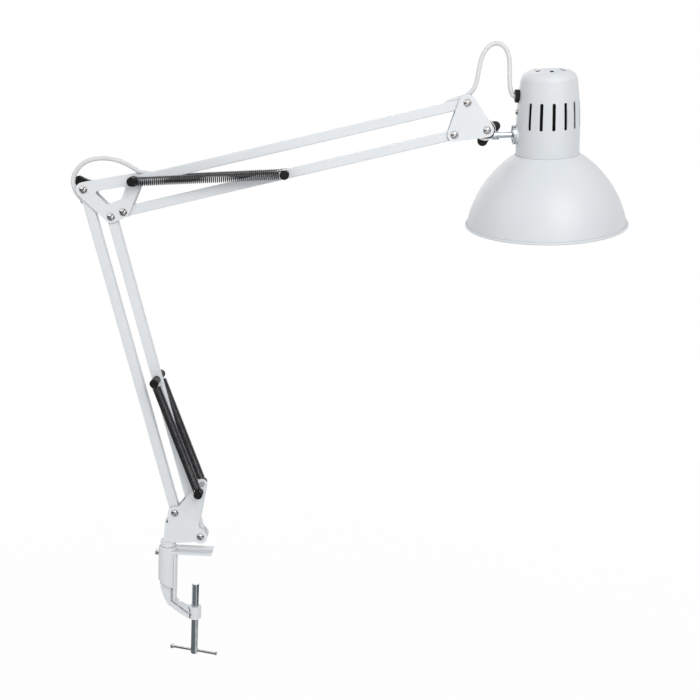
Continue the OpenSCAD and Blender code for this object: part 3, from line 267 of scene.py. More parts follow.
def moulded_grain_group():
    """Moulded plastic or rubber: a fine sparked grain with soft rub marks."""
    group, inside, outside = group_shell("moulded_grain", [
        ("Colour", "NodeSocketColor", (0.03, 0.03, 0.03, 1.0)),
        ("Rubbed Colour", "NodeSocketColor", (0.08, 0.08, 0.08, 1.0)),
        ("Grain Scale", "NodeSocketFloat", 1800.0),
        ("Grain Strength", "NodeSocketFloat", 0.2),
        ("Gloss Low", "NodeSocketFloat", 0.35),
        ("Gloss High", "NodeSocketFloat", 0.6),
    ], [("Colour", "NodeSocketColor"), ("Roughness", "NodeSocketFloat"), ("Normal", "NodeSocketVector")])
    place = group.nodes.new("ShaderNodeTexCoord").outputs["Object"]
    wear = add_noise(group, place, scale=160.0, detail=4.0, roughness=0.6)
    rubs = spread(group, wear, (0.5, 0.75), (0.0, 0.6))
    colour = blend_colour(group, rubs, inside.outputs["Colour"], inside.outputs["Rubbed Colour"])
    rough = between(group, rubs, inside.outputs["Gloss High"], inside.outputs["Gloss Low"])
    grain = add_noise(group, place, inside.outputs["Grain Scale"])
    normal = add_bump(group, grain, GRAIN_DEPTH, inside.outputs["Grain Strength"])
    group.links.new(colour, outside.inputs["Colour"])
    group.links.new(rough, outside.inputs["Roughness"])
    group.links.new(normal, outside.inputs["Normal"])
    return group


SPRAYED = orange_peel_group()
TURNED = turned_metal_group()
MOULDED = moulded_grain_group()


# Materials

# Painted shade: the near-black colour that narrow gaps, inner corners and the crown's vent cuts are darkened
# towards.
PAINTED_SHADE = (0.035, 0.035, 0.04, 1.0)
RECESS_REACH = 1.8 * MM
RECESS_SAMPLES = 8
RECESS_OPEN = (0.3, 0.66)


def add_recess_shade(tree, colour):
    """Paints shade into a colour: darker in narrow gaps, slots and inner corners, by how closed in they are."""
    open_share = tree.nodes.new("ShaderNodeAmbientOcclusion")
    open_share.samples = RECESS_SAMPLES
    open_share.inputs["Distance"].default_value = RECESS_REACH
    return blend_colour(tree, spread(tree, open_share.outputs["AO"], RECESS_OPEN), PAINTED_SHADE, colour)


def material_from(name, group, values, metallic=0.0, specular=0.5, recess=False):
    """A material whose colour, roughness and normal come from a shared group with its own values. With recess,
    shade is painted into its narrow gaps and corners.
    """
    material = bpy.data.materials.new(name)
    material.use_nodes = True
    tree = material.node_tree
    shader = tree.nodes["Principled BSDF"]
    shader.inputs["Metallic"].default_value = metallic
    shader.inputs["Specular IOR Level"].default_value = specular
    node = tree.nodes.new("ShaderNodeGroup")
    node.node_tree = group
    for label, value in values.items():
        node.inputs[label].default_value = value
    colour = add_recess_shade(tree, node.outputs["Colour"]) if recess else node.outputs["Colour"]
    tree.links.new(colour, shader.inputs["Base Color"])
    tree.links.new(node.outputs["Roughness"], shader.inputs["Roughness"])
    tree.links.new(node.outputs["Normal"], shader.inputs["Normal"])
    return material


WHITE_PAINT = material_from("white_paint", SPRAYED, {
    "Colour": (0.735, 0.76, 0.775, 1.0), "Shade Colour": (0.715, 0.74, 0.757, 1.0),
    "Pebble Scale": 1100.0, "Pebble Strength": 0.06, "Gloss Low": 0.34, "Gloss High": 0.46}, recess=True)
SHADE_PAINT = material_from("shade_paint", SPRAYED, {
    "Colour": (0.69, 0.715, 0.735, 1.0), "Shade Colour": (0.665, 0.69, 0.712, 1.0),
    "Pebble Scale": 1400.0, "Pebble Strength": 0.05, "Gloss Low": 0.36, "Gloss High": 0.48}, recess=True)
CAST_PAINT = material_from("cast_paint", SPRAYED, {
    "Colour": (0.735, 0.755, 0.775, 1.0), "Shade Colour": (0.70, 0.72, 0.742, 1.0),
    "Pebble Scale": 650.0, "Pebble Strength": 0.1, "Gloss Low": 0.36, "Gloss High": 0.52}, recess=True)
BLACK_PLASTIC = material_from("black_plastic", MOULDED, {
    "Colour": (0.008, 0.008, 0.009, 1.0), "Rubbed Colour": (0.018, 0.018, 0.02, 1.0),
    "Grain Scale": 2200.0, "Grain Strength": 0.15, "Gloss Low": 0.28, "Gloss High": 0.45}, specular=0.2)
RUBBER = material_from("grommet_rubber", MOULDED, {
    "Colour": (0.014, 0.014, 0.015, 1.0), "Rubbed Colour": (0.035, 0.035, 0.036, 1.0),
    "Grain Scale": 1500.0, "Grain Strength": 0.3, "Gloss Low": 0.45, "Gloss High": 0.7}, specular=0.15)
LEAD_SKIN = material_from("lead_skin", MOULDED, {
    "Colour": (0.70, 0.705, 0.715, 1.0), "Rubbed Colour": (0.65, 0.655, 0.665, 1.0),
    "Grain Scale": 1700.0, "Grain Strength": 0.12, "Gloss Low": 0.3, "Gloss High": 0.45})
HOLDER_PHENOLIC = material_from("holder_phenolic", MOULDED, {
    "Colour": (0.03, 0.019, 0.015, 1.0), "Rubbed Colour": (0.06, 0.04, 0.032, 1.0),
    "Grain Scale": 900.0, "Grain Strength": 0.08, "Gloss Low": 0.2, "Gloss High": 0.35}, specular=0.3)
BRIGHT_SCREW = material_from("bright_screw", TURNED, {
    "Colour": (0.72, 0.71, 0.70, 1.0), "Stain Colour": (0.34, 0.31, 0.29, 1.0), "Stain": 0.5,
    "Line Scale": (900.0, 900.0, 900.0), "Line Strength": 0.2, "Gloss Low": 0.08, "Gloss High": 0.2},
    metallic=1.0)
ZINC_STEEL = material_from("zinc_steel", TURNED, {
    "Colour": (0.56, 0.60, 0.63, 1.0), "Stain Colour": (0.34, 0.38, 0.41, 1.0), "Stain": 0.3,
    "Line Scale": (500.0, 500.0, 90.0), "Line Strength": 0.03, "Gloss Low": 0.14, "Gloss High": 0.26},
    metallic=1.0)
BAR_CHROME = material_from("bar_chrome", TURNED, {
    "Colour": (0.68, 0.67, 0.66, 1.0), "Stain Colour": (0.36, 0.34, 0.33, 1.0), "Stain": 0.4,
    "Line Scale": (2200.0, 160.0, 160.0), "Line Strength": 0.15, "Gloss Low": 0.1, "Gloss High": 0.28},
    metallic=1.0)
SPRING_STEEL = material_from("spring_steel", TURNED, {
    "Colour": (0.10, 0.10, 0.105, 1.0), "Stain Colour": (0.05, 0.05, 0.053, 1.0), "Stain": 0.4,
    "Line Scale": (500.0, 500.0, 500.0), "Line Strength": 0.02, "Gloss Low": 0.3, "Gloss High": 0.42},
    metallic=1.0)
SHADE_SHEET_BLACK = material_from("painted_shade_sheet", TURNED, {
    "Colour": (0.02, 0.02, 0.02, 1.0), "Stain Colour": (0.008, 0.008, 0.008, 1.0), "Stain": 0.5,
    "Line Scale": (300.0, 300.0, 300.0), "Line Strength": 0.1, "Gloss Low": 0.6, "Gloss High": 0.8},
    specular=0.1)
BRASS = material_from("contact_brass", TURNED, {
    "Colour": (0.62, 0.47, 0.2, 1.0), "Stain Colour": (0.34, 0.24, 0.1, 1.0), "Stain": 0.4,
    "Line Scale": (400.0, 400.0, 400.0), "Line Strength": 0.1, "Gloss Low": 0.2, "Gloss High": 0.35},
    metallic=1.0)

FINISHES = {
    "clamp_frame": CAST_PAINT, "collar_screw": BRIGHT_SCREW, "clamp_screw": ZINC_STEEL,
    "tommy_bar": BAR_CHROME, "base_bracket": WHITE_PAINT, "swivel_post": WHITE_PAINT,
    "base_pivot_screws": BRIGHT_SCREW, "base_pivot_nuts": ZINC_STEEL, "base_sleeves": ZINC_STEEL,
    "base_spring_pegs": BLACK_PLASTIC, "base_peg_screws": BRIGHT_SCREW,
    "lower_left_tube": WHITE_PAINT, "lower_right_tube": WHITE_PAINT, "lower_spring_pegs": BLACK_PLASTIC,
    "elbow_plate_front": WHITE_PAINT, "elbow_plate_rear": WHITE_PAINT, "elbow_pivot_screws": BRIGHT_SCREW,
    "elbow_pivot_nuts": ZINC_STEEL, "elbow_sleeves": ZINC_STEEL, "elbow_spring_pegs": BLACK_PLASTIC,
    "elbow_knob": BLACK_PLASTIC, "upper_top_tube": WHITE_PAINT, "upper_bottom_tube": WHITE_PAINT,
    "upper_spring_pegs": BLACK_PLASTIC, "head_plate_front": WHITE_PAINT, "head_plate_rear": WHITE_PAINT,
    "head_pivot_screws": BRIGHT_SCREW, "head_pivot_nuts": ZINC_STEEL, "head_sleeves": ZINC_STEEL,
    "friction_bolt": BRIGHT_SCREW, "head_knob": BLACK_PLASTIC, "friction_disc": BLACK_PLASTIC,
    "tilt_rod": ZINC_STEEL, "neck_housing": SHADE_PAINT, "shade_bowl": SHADE_PAINT,
    "cup_seat": SHADE_PAINT, "rod_nut": ZINC_STEEL, "grommet": RUBBER, "holder_bracket": ZINC_STEEL,
    "holder_screw": BRIGHT_SCREW, "lamp_holder": HOLDER_PHENOLIC, "screw_shell": BRASS,
    "centre_contact": BRASS,
}


def dress_nodes():
    for name, material in FINISHES.items():
        data = NODES[name].data
        data.materials.clear()
        data.materials.append(material)


dress_nodes()


# Tubes along a line of points, for the lead and the springs

def smooth_line(points, steps):
    """Points on a Catmull-Rom curve through the given ones."""
    ends = [points[0] * 2 - points[1]] + list(points) + [points[-1] * 2 - points[-2]]
    line = []
    for index in range(1, len(ends) - 2):
        a, b, c, d = ends[index - 1:index + 3]
        for step in range(steps):
            t = step / steps
            line.append(0.5 * (2 * b + (c - a) * t + (2 * a - 5 * b + 4 * c - d) * t * t
                               + (3 * b - a - 3 * c + d) * t * t * t))
    line.append(points[-1])
    return line


def tube_mesh(name, line, radius, sides, first=0, last=None, side=None):
    """One closed tube from the first to the last point. Points beyond its ends only turn its end rings."""
    shape = bmesh.new()
    rings = []
    end = len(line) - 1
    for index in range(first, (end if last is None else last) + 1):
        point = line[index]
        along = (line[min(index + 1, end)] - line[max(index - 1, 0)]).normalized()
        side = along.orthogonal() if side is None else side - along * side.dot(along)
        side.normalize()
        other = along.cross(side)
        ring = []
        for corner in range(sides):
            turn = 2 * math.pi * corner / sides
            ring.append(shape.verts.new(point + radius * (math.cos(turn) * side + math.sin(turn) * other)))
        rings.append(ring)
    for before, after in zip(rings, rings[1:]):
        for corner in range(sides):
            following = (corner + 1) % sides
            shape.faces.new((before[corner], before[following], after[following], after[corner]))
    shape.faces.new(tuple(reversed(rings[0])))
    shape.faces.new(tuple(rings[-1]))
    for face in shape.faces:
        face.smooth = len(face.verts) == 4
        if not face.smooth:
            for edge in face.edges:
                edge.smooth = False
    mesh = bpy.data.meshes.new(name)
    shape.to_mesh(mesh)
    shape.free()
    return mesh


# The lead: the points of its route, in the order that it runs, in millimetres

LEAD_RADIUS = 2.3 * MM
LEAD_SIDES = 16
LEAD_STEPS = 4
LOWER_RUN = [(-30, 0, 68), (-33, 0, 76), (-36.5, 0, 91), (-108, 0, 342), (-111, 0, 352), (-114.5, 0, 364)]
ELBOW_LEFT_RUN = [(-114.5, 0, 364), (-117.4, 0, 371), (-121.4, 0, 377.5), (-127.4, 0, 383.6),
                  (-131.8, 0, 389.6), (-134.2, 0, 397), (-133.4, 0, 404.3), (-130.2, 0, 411),
                  (-124.5, 0, 417.3), (-116.5, 0, 421.7), (-106.7, 0, 423.8)]
ELBOW_RIGHT_RUN = [(-106.7, 0, 423.8), (-96.6, 0, 423.8), (-86.7, 0, 422), (-78.6, 0, 418.8),
                   (-72, 0, 415.2), (-66.5, 0, 412.4), (-61.7, 0, 411.6)]
UPPER_RUN = [(-61.7, 0, 411.6), (-57.1, 0, 411.2), (-52.6, 0, 410.9), (-48, 0, 410.9), (-43, 0, 411.4),
             (-37, 0, 412.6), (-22.6, 0, 416.5), (228.5, 0, 487.6), (234.2, 0, 489.4), (237.9, 0, 491.3),
             (240.9, 0, 493.6), (243.3, 0, 496)]
HEAD_BAR_RUN = [(243.3, 0, 496), (246.3, 0, 498.2), (250.5, 0, 499.8), (255.3, 0, 501.4), (259.6, 0, 503.1),
                (263.6, 0, 505.6), (267.8, 0, 509.5), (270.7, 0, 515)]
HEAD_TOP_RUN = [(270.7, 0, 515), (272.3, 0, 522.3), (273.2, 0, 530.5), (274.4, 0, 539.3), (276.8, 0, 547),
                (280.9, 0, 553.1), (286.6, 0, 556.7)]
HEAD_NECK_RUN = [(286.6, 0, 556.7), (292.3, -0.6, 556.7), (297.2, -1.4, 553.7), (300.6, -2.3, 548.4),
                 (302.6, -3.2, 541), (303.6, -4.1, 531.5), (304.2, -5, 521.8), (305.6, -5.4, 513.8),
                 (307.8, -5.6, 508), (310.83, -5.61, 506.51)]
GROMMET_BEYOND = (319.8, -5.61, 507.34)


def millimetres(run):
    return [Vector(point) * MM for point in run]


def lead_piece(node, run, before=None, after=None, ends=None):
    """A stretch of lead. The points before and after it keep the joins smooth."""
    points = millimetres(run)
    guides = ([Vector(before) * MM] if before else []) + points + ([Vector(after) * MM] if after else [])
    line = smooth_line(guides, LEAD_STEPS)
    first = LEAD_STEPS if before else 0
    last = len(line) - 1 - (LEAD_STEPS if after else 0)
    skin = tube_mesh(node + "_skin", line, LEAD_RADIUS, LEAD_SIDES, first, last, Vector((0.0, 1.0, 0.0)))
    piece = new_piece(node + "_skin", skin, LEAD_SKIN, None if ends else body_of_node(node))
    if ends:
        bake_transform(piece)
    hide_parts(node)


lead_piece("lead_lower", LOWER_RUN, after=ELBOW_LEFT_RUN[1])
lead_piece("lead_elbow_left", ELBOW_LEFT_RUN, LOWER_RUN[-2], ELBOW_RIGHT_RUN[1], ("lower_left", "elbow"))
lead_piece("lead_elbow_right", ELBOW_RIGHT_RUN, ELBOW_LEFT_RUN[-2], UPPER_RUN[1], ("elbow", "upper_top"))
lead_piece("lead_upper", UPPER_RUN, ELBOW_RIGHT_RUN[-2], HEAD_BAR_RUN[1])
lead_piece("lead_head_bar", HEAD_BAR_RUN, UPPER_RUN[-2], HEAD_TOP_RUN[1], ("upper_top", "head_bracket"))
lead_piece("lead_head_top", HEAD_TOP_RUN, HEAD_BAR_RUN[-2], HEAD_NECK_RUN[1], ("head_bracket", "tilt_arm"))
lead_piece("lead_head_neck", HEAD_NECK_RUN, HEAD_TOP_RUN[-2], GROMMET_BEYOND, ("tilt_arm", "head"))
NODES["lead_inner"].data.materials.clear()
NODES["lead_inner"].data.materials.append(LEAD_SKIN)


# Springs: close wound coils between two hooks. The angles are in degrees.

WIRE_RADIUS = 0.66 * MM
COIL_RADIUS = 4.1 * MM
HOOK_RADIUS = 4.0 * MM
HOOK_GAP = 5.4 * MM
HOOK_STEPS = 14
LOW_HOOK_TIP = 250
HOOK_MEETS_COIL = 90
HIGH_HOOK_TIP = -80
CURL_RINGS = 16
WIRE_SIDES = 8
LOWER_PITCH = 1.42 * MM
UPPER_PITCH = 2.05 * MM


def hook_points(along, side, centre, start, stop):
    """An arc round a peg, from one angle to another in degrees."""
    points = []
    for index in range(HOOK_STEPS + 1):
        turn = math.radians(start + (stop - start) * index / HOOK_STEPS)
        points.append(centre + HOOK_RADIUS * (math.cos(turn) * along + math.sin(turn) * side))
    return points


def spring_line(low, high, pitch):
    """The middle of the wire: a hook round the low peg, the turns, and a hook round the high one."""
    along = (high - low).normalized()
    depth = Vector((0, 1, 0))
    side = along.cross(depth).normalized()
    coil_length = (high - low).length - 2 * HOOK_GAP
    curls = round(coil_length / pitch)
    line = hook_points(along, side, low, LOW_HOOK_TIP, HOOK_MEETS_COIL)
    for index in range(curls * CURL_RINGS + 1):
        turn = 2 * math.pi * index / CURL_RINGS
        reach = HOOK_GAP + coil_length * index / (curls * CURL_RINGS)
        line.append(low + along * reach + COIL_RADIUS * (math.cos(turn) * side + math.sin(turn) * depth))
    return line + hook_points(along, side, high, HOOK_MEETS_COIL, HIGH_HOOK_TIP)


def tension_spring(node, near, far, pitch):
    """One spring between two pegs, at the depth of its own node, fixed in the model's frame rather than carried by
    a body.
    """
    y = middle(node).y
    low = Vector((near.x, y, near.z))
    high = Vector((far.x, y, far.z))
    name = node + "_coil"
    wire = tube_mesh(name, spring_line(low, high, pitch), WIRE_RADIUS, WIRE_SIDES)
    piece = new_piece(name, wire, SPRING_STEEL)
    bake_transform(piece)
    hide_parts(node)


LOWER_SEAT = middle("base_spring_pegs")
LOWER_PEG = middle("lower_spring_pegs")
UPPER_PEG = middle("upper_spring_pegs")
for SIDE in ("front", "rear"):
    tension_spring("lower_spring_" + SIDE, LOWER_SEAT, LOWER_PEG,
                   LOWER_PITCH)
    tension_spring("upper_spring_" + SIDE, ELBOW_PEG, UPPER_PEG,
                   UPPER_PITCH)


# Knobs, friction parts and the near-black sheet in the neck that paints shade behind its vents. The turns of the
# knobs and of the head are in degrees.

PLATE_FACE = 7.4 * MM
ALONG_PIVOT = Matrix.Rotation(math.radians(-90), 4, "X")
MERGE_REACH = 0.001 * MM
LEVEL_REACH = 0.0001 * MM
CRISP_ANGLE = math.radians(30)
RIM_SIDES = 64
RIM_SEGMENTS = 3
TURN_STEPS = 96
TURN_CENTRE = 0.2 * MM
FULL_TURN = 2 * math.pi

KNOB_GAP = 0.3 * MM
HUB_RADIUS = 7.4 * MM
HUB_HEIGHT = 1.6 * MM
LOBES = 3
LOBE_HEIGHT = 8.0 * MM
LOBE_RADIUS = 5.0 * MM
LOBE_REACH = 11.5 * MM
LOBE_VALLEY = 9.3 * MM
LOBE_STEPS = 7
VALLEY_STEPS = 4
KNOB_EDGE = 1.3 * MM
KNOB_SEGMENTS = 4
BUTTON_RADIUS = 5.2 * MM
BUTTON_RISE = 1.2 * MM
BUTTON_EDGE = 0.5 * MM
ELBOW_KNOB_TURN = 137
HEAD_KNOB_TURN = 23

HEAD_TURN = 5.3
HEAD_TIP = 8.4
ROD_DROP = 5.5 * MM
HEAD_OFFSET = 62.7 * MM
RIM_DROP = 100.8 * MM

# A near-black sheet inside the neck, put there to paint shade behind the crown's vents.
SHADE_SHEET_RADIUS = 26.5 * MM
SHADE_SHEET_GAUGE = 0.5 * MM
SHADE_SHEET_BEND = 1.0 * MM
SHADE_SHEET_INNER_BEND = 0.7 * MM
SHADE_SHEET_TOP = 151.2 * MM
SHADE_SHEET_SPLIT = 140.0 * MM
SHADE_SHEET_FOOT = 98.0 * MM
SHADE_SHEET_SIDE = math.radians(146)

DISC_RADIUS = 8.4 * MM
DISC_HALF = 5.8 * MM
DISC_EDGE = 0.5 * MM
BOSS_RADIUS = 4.4 * MM
BOSS_FOOT = 5.88 * MM
BOSS_END = 11.2 * MM
BOSS_EDGE = 0.4 * MM
WASHER_RADIUS = 10.8 * MM
WASHER_PLAY = 0.1 * MM
WASHER_HEIGHT = 1.4 * MM
WASHER_EDGE = 0.3 * MM

CROWN_CUT_DEPTH = 2.6 * MM
CROWN_CUT_FADE = 0.4 * MM
CROWN_CUT_SLOPE = (0.6, 0.3)


def finish_piece(shape, name, material, body, node=None):
    """Closes a bmesh into a piece: doubles merged, faces outwards, edges over the angle kept crisp."""
    bmesh.ops.remove_doubles(shape, verts=shape.verts, dist=MERGE_REACH)
    bmesh.ops.recalc_face_normals(shape, faces=shape.faces)
    for face in shape.faces:
        face.smooth = True
    for edge in shape.edges:
        edge.smooth = len(edge.link_faces) == 2 and edge.calc_face_angle() < CRISP_ANGLE
    mesh = bpy.data.meshes.new(name)
    shape.to_mesh(mesh)
    shape.free()
    piece = new_piece(name, mesh, material, body)
    if node:
        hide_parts(node)


def level_edges(edges):
    """The edges that lie level, which are the rims of an upright bar or block."""
    return [edge for edge in edges if abs(edge.verts[0].co.z - edge.verts[1].co.z) < LEVEL_REACH]


def round_bar(shape, radius, foot, top, place, edge=0.0):
    """A disc or bar along Z from foot to top, its rims rounded, then moved by place."""
    made = bmesh.ops.create_cone(shape, cap_ends=True, segments=RIM_SIDES, radius1=radius, radius2=radius,
                                 depth=top - foot)
    verts = made["verts"]
    bmesh.ops.translate(shape, verts=verts, vec=(0.0, 0.0, (foot + top) / 2))
    if edge:
        rims = level_edges({spoke for vert in verts for spoke in vert.link_edges})
        cut = bmesh.ops.bevel(shape, geom=rims, offset=edge, segments=RIM_SEGMENTS, profile=0.5,
                              affect="EDGES", material=-1)
        verts = list({vert for vert in verts if vert.is_valid} | set(cut["verts"]))
    bmesh.ops.transform(shape, verts=verts, matrix=place)


def on_circle(radius, angle):
    return Vector((radius * math.cos(angle), radius * math.sin(angle), 0.0))


def knob_outline():
    """The lobes' tips and valleys: arcs that flow into each other, once for each lobe."""
    half_pitch = math.pi / LOBES
    drop = LOBE_VALLEY - LOBE_RADIUS
    hollow_at = (LOBE_REACH ** 2 - drop ** 2) / (LOBE_REACH - 2 * drop)
    hollow = on_circle(hollow_at, half_pitch)
    tip = Vector((LOBE_REACH, 0.0, 0.0))
    lobe_end = math.atan2((hollow - tip).y, (hollow - tip).x)
    valley_half = lobe_end - half_pitch
    points = []
    for lobe in range(LOBES):
        turn = Matrix.Rotation(2 * half_pitch * lobe, 3, "Z")
        for step in range(2 * LOBE_STEPS + 1):
            points.append(turn @ (tip + on_circle(LOBE_RADIUS, lobe_end * (step / LOBE_STEPS - 1))))
        for step in range(1, 2 * VALLEY_STEPS):
            angle = math.pi + half_pitch + valley_half * (1 - step / VALLEY_STEPS)
            points.append(turn @ (hollow + on_circle(hollow_at - LOBE_VALLEY, angle)))
    return points


def lobed_knob(node, pivot, turn, body):
    """Lobes on a round hub, with rounded rims and a raised button over the captive screw."""
    shape = bmesh.new()
    foot = PLATE_FACE + KNOB_GAP + HUB_HEIGHT
    face = foot + LOBE_HEIGHT
    outline = [shape.verts.new(point + Vector((0.0, 0.0, foot))) for point in knob_outline()]
    base = shape.faces.new(outline)
    grown = bmesh.ops.extrude_face_region(shape, geom=[base], use_keep_orig=True)
    top = [vert for vert in grown["geom"] if isinstance(vert, bmesh.types.BMVert)]
    bmesh.ops.translate(shape, verts=top, vec=(0.0, 0.0, LOBE_HEIGHT))
    bmesh.ops.bevel(shape, geom=level_edges(shape.edges), offset=KNOB_EDGE, segments=KNOB_SEGMENTS,
                    profile=0.5, affect="EDGES", material=-1)
    unmoved = Matrix.Identity(4)
    round_bar(shape, HUB_RADIUS, PLATE_FACE + KNOB_GAP, foot + KNOB_EDGE / 2, unmoved)
    round_bar(shape, BUTTON_RADIUS, face - KNOB_EDGE / 2, face + BUTTON_RISE, unmoved, BUTTON_EDGE)
    place = Matrix.Translation(Vector((pivot.x, 0.0, pivot.z)))
    roll = Matrix.Rotation(math.radians(-turn), 4, "Z")
    bmesh.ops.transform(shape, verts=shape.verts, matrix=place @ ALONG_PIVOT @ roll)
    finish_piece(shape, node + "_moulding", BLACK_PLASTIC, body, node)


lobed_knob("elbow_knob", ELBOW_KNOB_PIVOT, ELBOW_KNOB_TURN, body_of_node("elbow_knob"))
lobed_knob("head_knob", FRICTION_PIVOT, HEAD_KNOB_TURN, body_of_node("head_knob"))


def head_frame():
    """From the head's own axes, in metres with the rim plane at nought, to the frame of the model."""
    return (Matrix.Translation(FRICTION_PIVOT) @ Matrix.Rotation(math.radians(-HEAD_TURN), 4, "Y")
            @ Matrix.Translation((0.0, 0.0, -ROD_DROP)) @ Matrix.Rotation(math.radians(HEAD_TIP), 4, "X")
            @ Matrix.Translation((HEAD_OFFSET, 0.0, ROD_DROP - RIM_DROP)))


def turned_profile(shape, profile, angle=FULL_TURN, start=0.0):
    """Spins a closed profile of (radius, height) points about Z through an angle from a start."""
    first = Matrix.Rotation(start, 3, "Z")
    ring = [shape.verts.new(first @ Vector((radius, 0.0, height))) for radius, height in profile]
    whole = angle == FULL_TURN
    loop = [shape.edges.new((a, b)) for a, b in zip(ring, ring[1:] + ring[:1])]
    geometry = ring + loop + ([] if whole else [shape.faces.new(ring)])
    bmesh.ops.spin(shape, geom=geometry, cent=(0.0, 0.0, 0.0), axis=(0.0, 0.0, 1.0), angle=angle,
                   steps=TURN_STEPS, use_merge=whole, use_duplicate=False)


def neck_shade_sheet():
    """Near-black sheet behind the vents that paints shade into them: a lid in the shoulder, and a wall that is
    open at the lead's side.
    """
    place = head_frame()
    inner = SHADE_SHEET_RADIUS - SHADE_SHEET_GAUGE
    inner_top = SHADE_SHEET_TOP - SHADE_SHEET_GAUGE
    lid = bmesh.new()
    turned_profile(lid, [
        (TURN_CENTRE, SHADE_SHEET_TOP), (SHADE_SHEET_RADIUS - SHADE_SHEET_BEND, SHADE_SHEET_TOP),
        (SHADE_SHEET_RADIUS, SHADE_SHEET_TOP - SHADE_SHEET_BEND), (SHADE_SHEET_RADIUS, SHADE_SHEET_SPLIT), (inner, SHADE_SHEET_SPLIT),
        (inner, inner_top - SHADE_SHEET_INNER_BEND), (inner - SHADE_SHEET_INNER_BEND, inner_top),
        (TURN_CENTRE, inner_top)])
    bmesh.ops.transform(lid, verts=lid.verts, matrix=place)
    finish_piece(lid, "neck_shade_sheet_lid", SHADE_SHEET_BLACK, "head")
    wall = bmesh.new()
    turned_profile(wall, [
        (SHADE_SHEET_RADIUS, SHADE_SHEET_SPLIT), (SHADE_SHEET_RADIUS, SHADE_SHEET_FOOT), (inner, SHADE_SHEET_FOOT),
        (inner, SHADE_SHEET_SPLIT)], 2 * SHADE_SHEET_SIDE, -SHADE_SHEET_SIDE)
    bmesh.ops.transform(wall, verts=wall.verts, matrix=place)
    finish_piece(wall, "neck_shade_sheet_wall", SHADE_SHEET_BLACK, "head")


def friction_parts():
    """The disc between the head plates, its steel boss on the rod and the bright washer behind."""
    at_pivot = Matrix.Translation(FRICTION_PIVOT)
    on_rod = (at_pivot @ Matrix.Rotation(math.radians(-HEAD_TURN), 4, "Y")
              @ Matrix.Translation((0.0, 0.0, -ROD_DROP)) @ Matrix.Rotation(math.radians(90), 4, "Y"))
    disc = bmesh.new()
    round_bar(disc, DISC_RADIUS, -DISC_HALF, DISC_HALF, at_pivot @ ALONG_PIVOT, DISC_EDGE)
    finish_piece(disc, "friction_disc_moulding", BLACK_PLASTIC, "tilt_arm", "friction_disc")
    boss = bmesh.new()
    round_bar(boss, BOSS_RADIUS, BOSS_FOOT, BOSS_END, on_rod, BOSS_EDGE)
    finish_piece(boss, "friction_boss", ZINC_STEEL, "tilt_arm")
    bore = HUB_RADIUS + WASHER_PLAY
    washer_top = PLATE_FACE + WASHER_HEIGHT
    washer = bmesh.new()
    turned_profile(washer, [
        (bore, PLATE_FACE), (WASHER_RADIUS - WASHER_EDGE, PLATE_FACE),
        (WASHER_RADIUS, PLATE_FACE + WASHER_EDGE), (WASHER_RADIUS, washer_top - WASHER_EDGE),
        (WASHER_RADIUS - WASHER_EDGE, washer_top), (bore, washer_top)])
    bmesh.ops.transform(washer, verts=washer.verts, matrix=at_pivot @ ALONG_PIVOT)
    finish_piece(washer, "friction_washer", BRIGHT_SCREW, "head_bracket")


def shade_crown_cuts():
    """Painted shade: the cut edges of the crown's vents are darkened to near black, so the vents look like dark
    openings.
    """
    housing = NODES["neck_housing"].data
    axis = (head_frame().to_3x3() @ Vector((0.0, 0.0, 1.0))).normalized()
    crown = max(vertex.co.dot(axis) for vertex in housing.vertices)
    material = SHADE_PAINT.copy()
    material.name = "neck_paint"
    tree = material.node_tree
    colour_socket = tree.nodes["Principled BSDF"].inputs["Base Color"]
    painted = colour_socket.links[0].from_socket
    surface = tree.nodes.new("ShaderNodeTexCoord")
    reaches = []
    for output in ("Normal", "Object"):
        reach = tree.nodes.new("ShaderNodeVectorMath")
        reach.operation = "DOT_PRODUCT"
        tree.links.new(surface.outputs[output], reach.inputs[0])
        reach.inputs[1].default_value = axis
        reaches.append(reach.outputs["Value"])
    upright = spread(tree, add_math(tree, "ABSOLUTE", reaches[0], 0.0), CROWN_CUT_SLOPE)
    deepest = crown - CROWN_CUT_DEPTH
    near_top = spread(tree, reaches[1], (deepest - CROWN_CUT_FADE, deepest))
    cut = add_math(tree, "MULTIPLY", upright, near_top)
    # The vent cuts are blended towards the painted shade colour.
    tree.links.new(blend_colour(tree, cut, painted, PAINTED_SHADE), colour_socket)
    housing.materials.clear()
    housing.materials.append(material)


neck_shade_sheet()
friction_parts()
shade_crown_cuts()


# Floor, light and world

FLOOR_DROP = 0.30
FLOOR_SIZE = 14.0
FLOOR_HEIGHT = CAD_BOX[0][2] - FLOOR_DROP
FLOOR_GREY = (0.86, 0.86, 0.86, 1.0)
FLOOR_ROUGHNESS = 0.9


def white_to_lens(tree):
    """One where a ray comes from the lens, from a gloss or through glass, and nought for all other rays."""
    rays = tree.nodes.new("ShaderNodeLightPath")
    seen = add_math(tree, "MAXIMUM", rays.outputs["Is Camera Ray"], rays.outputs["Is Glossy Ray"])
    return add_math(tree, "MAXIMUM", seen, rays.outputs["Is Transmission Ray"])


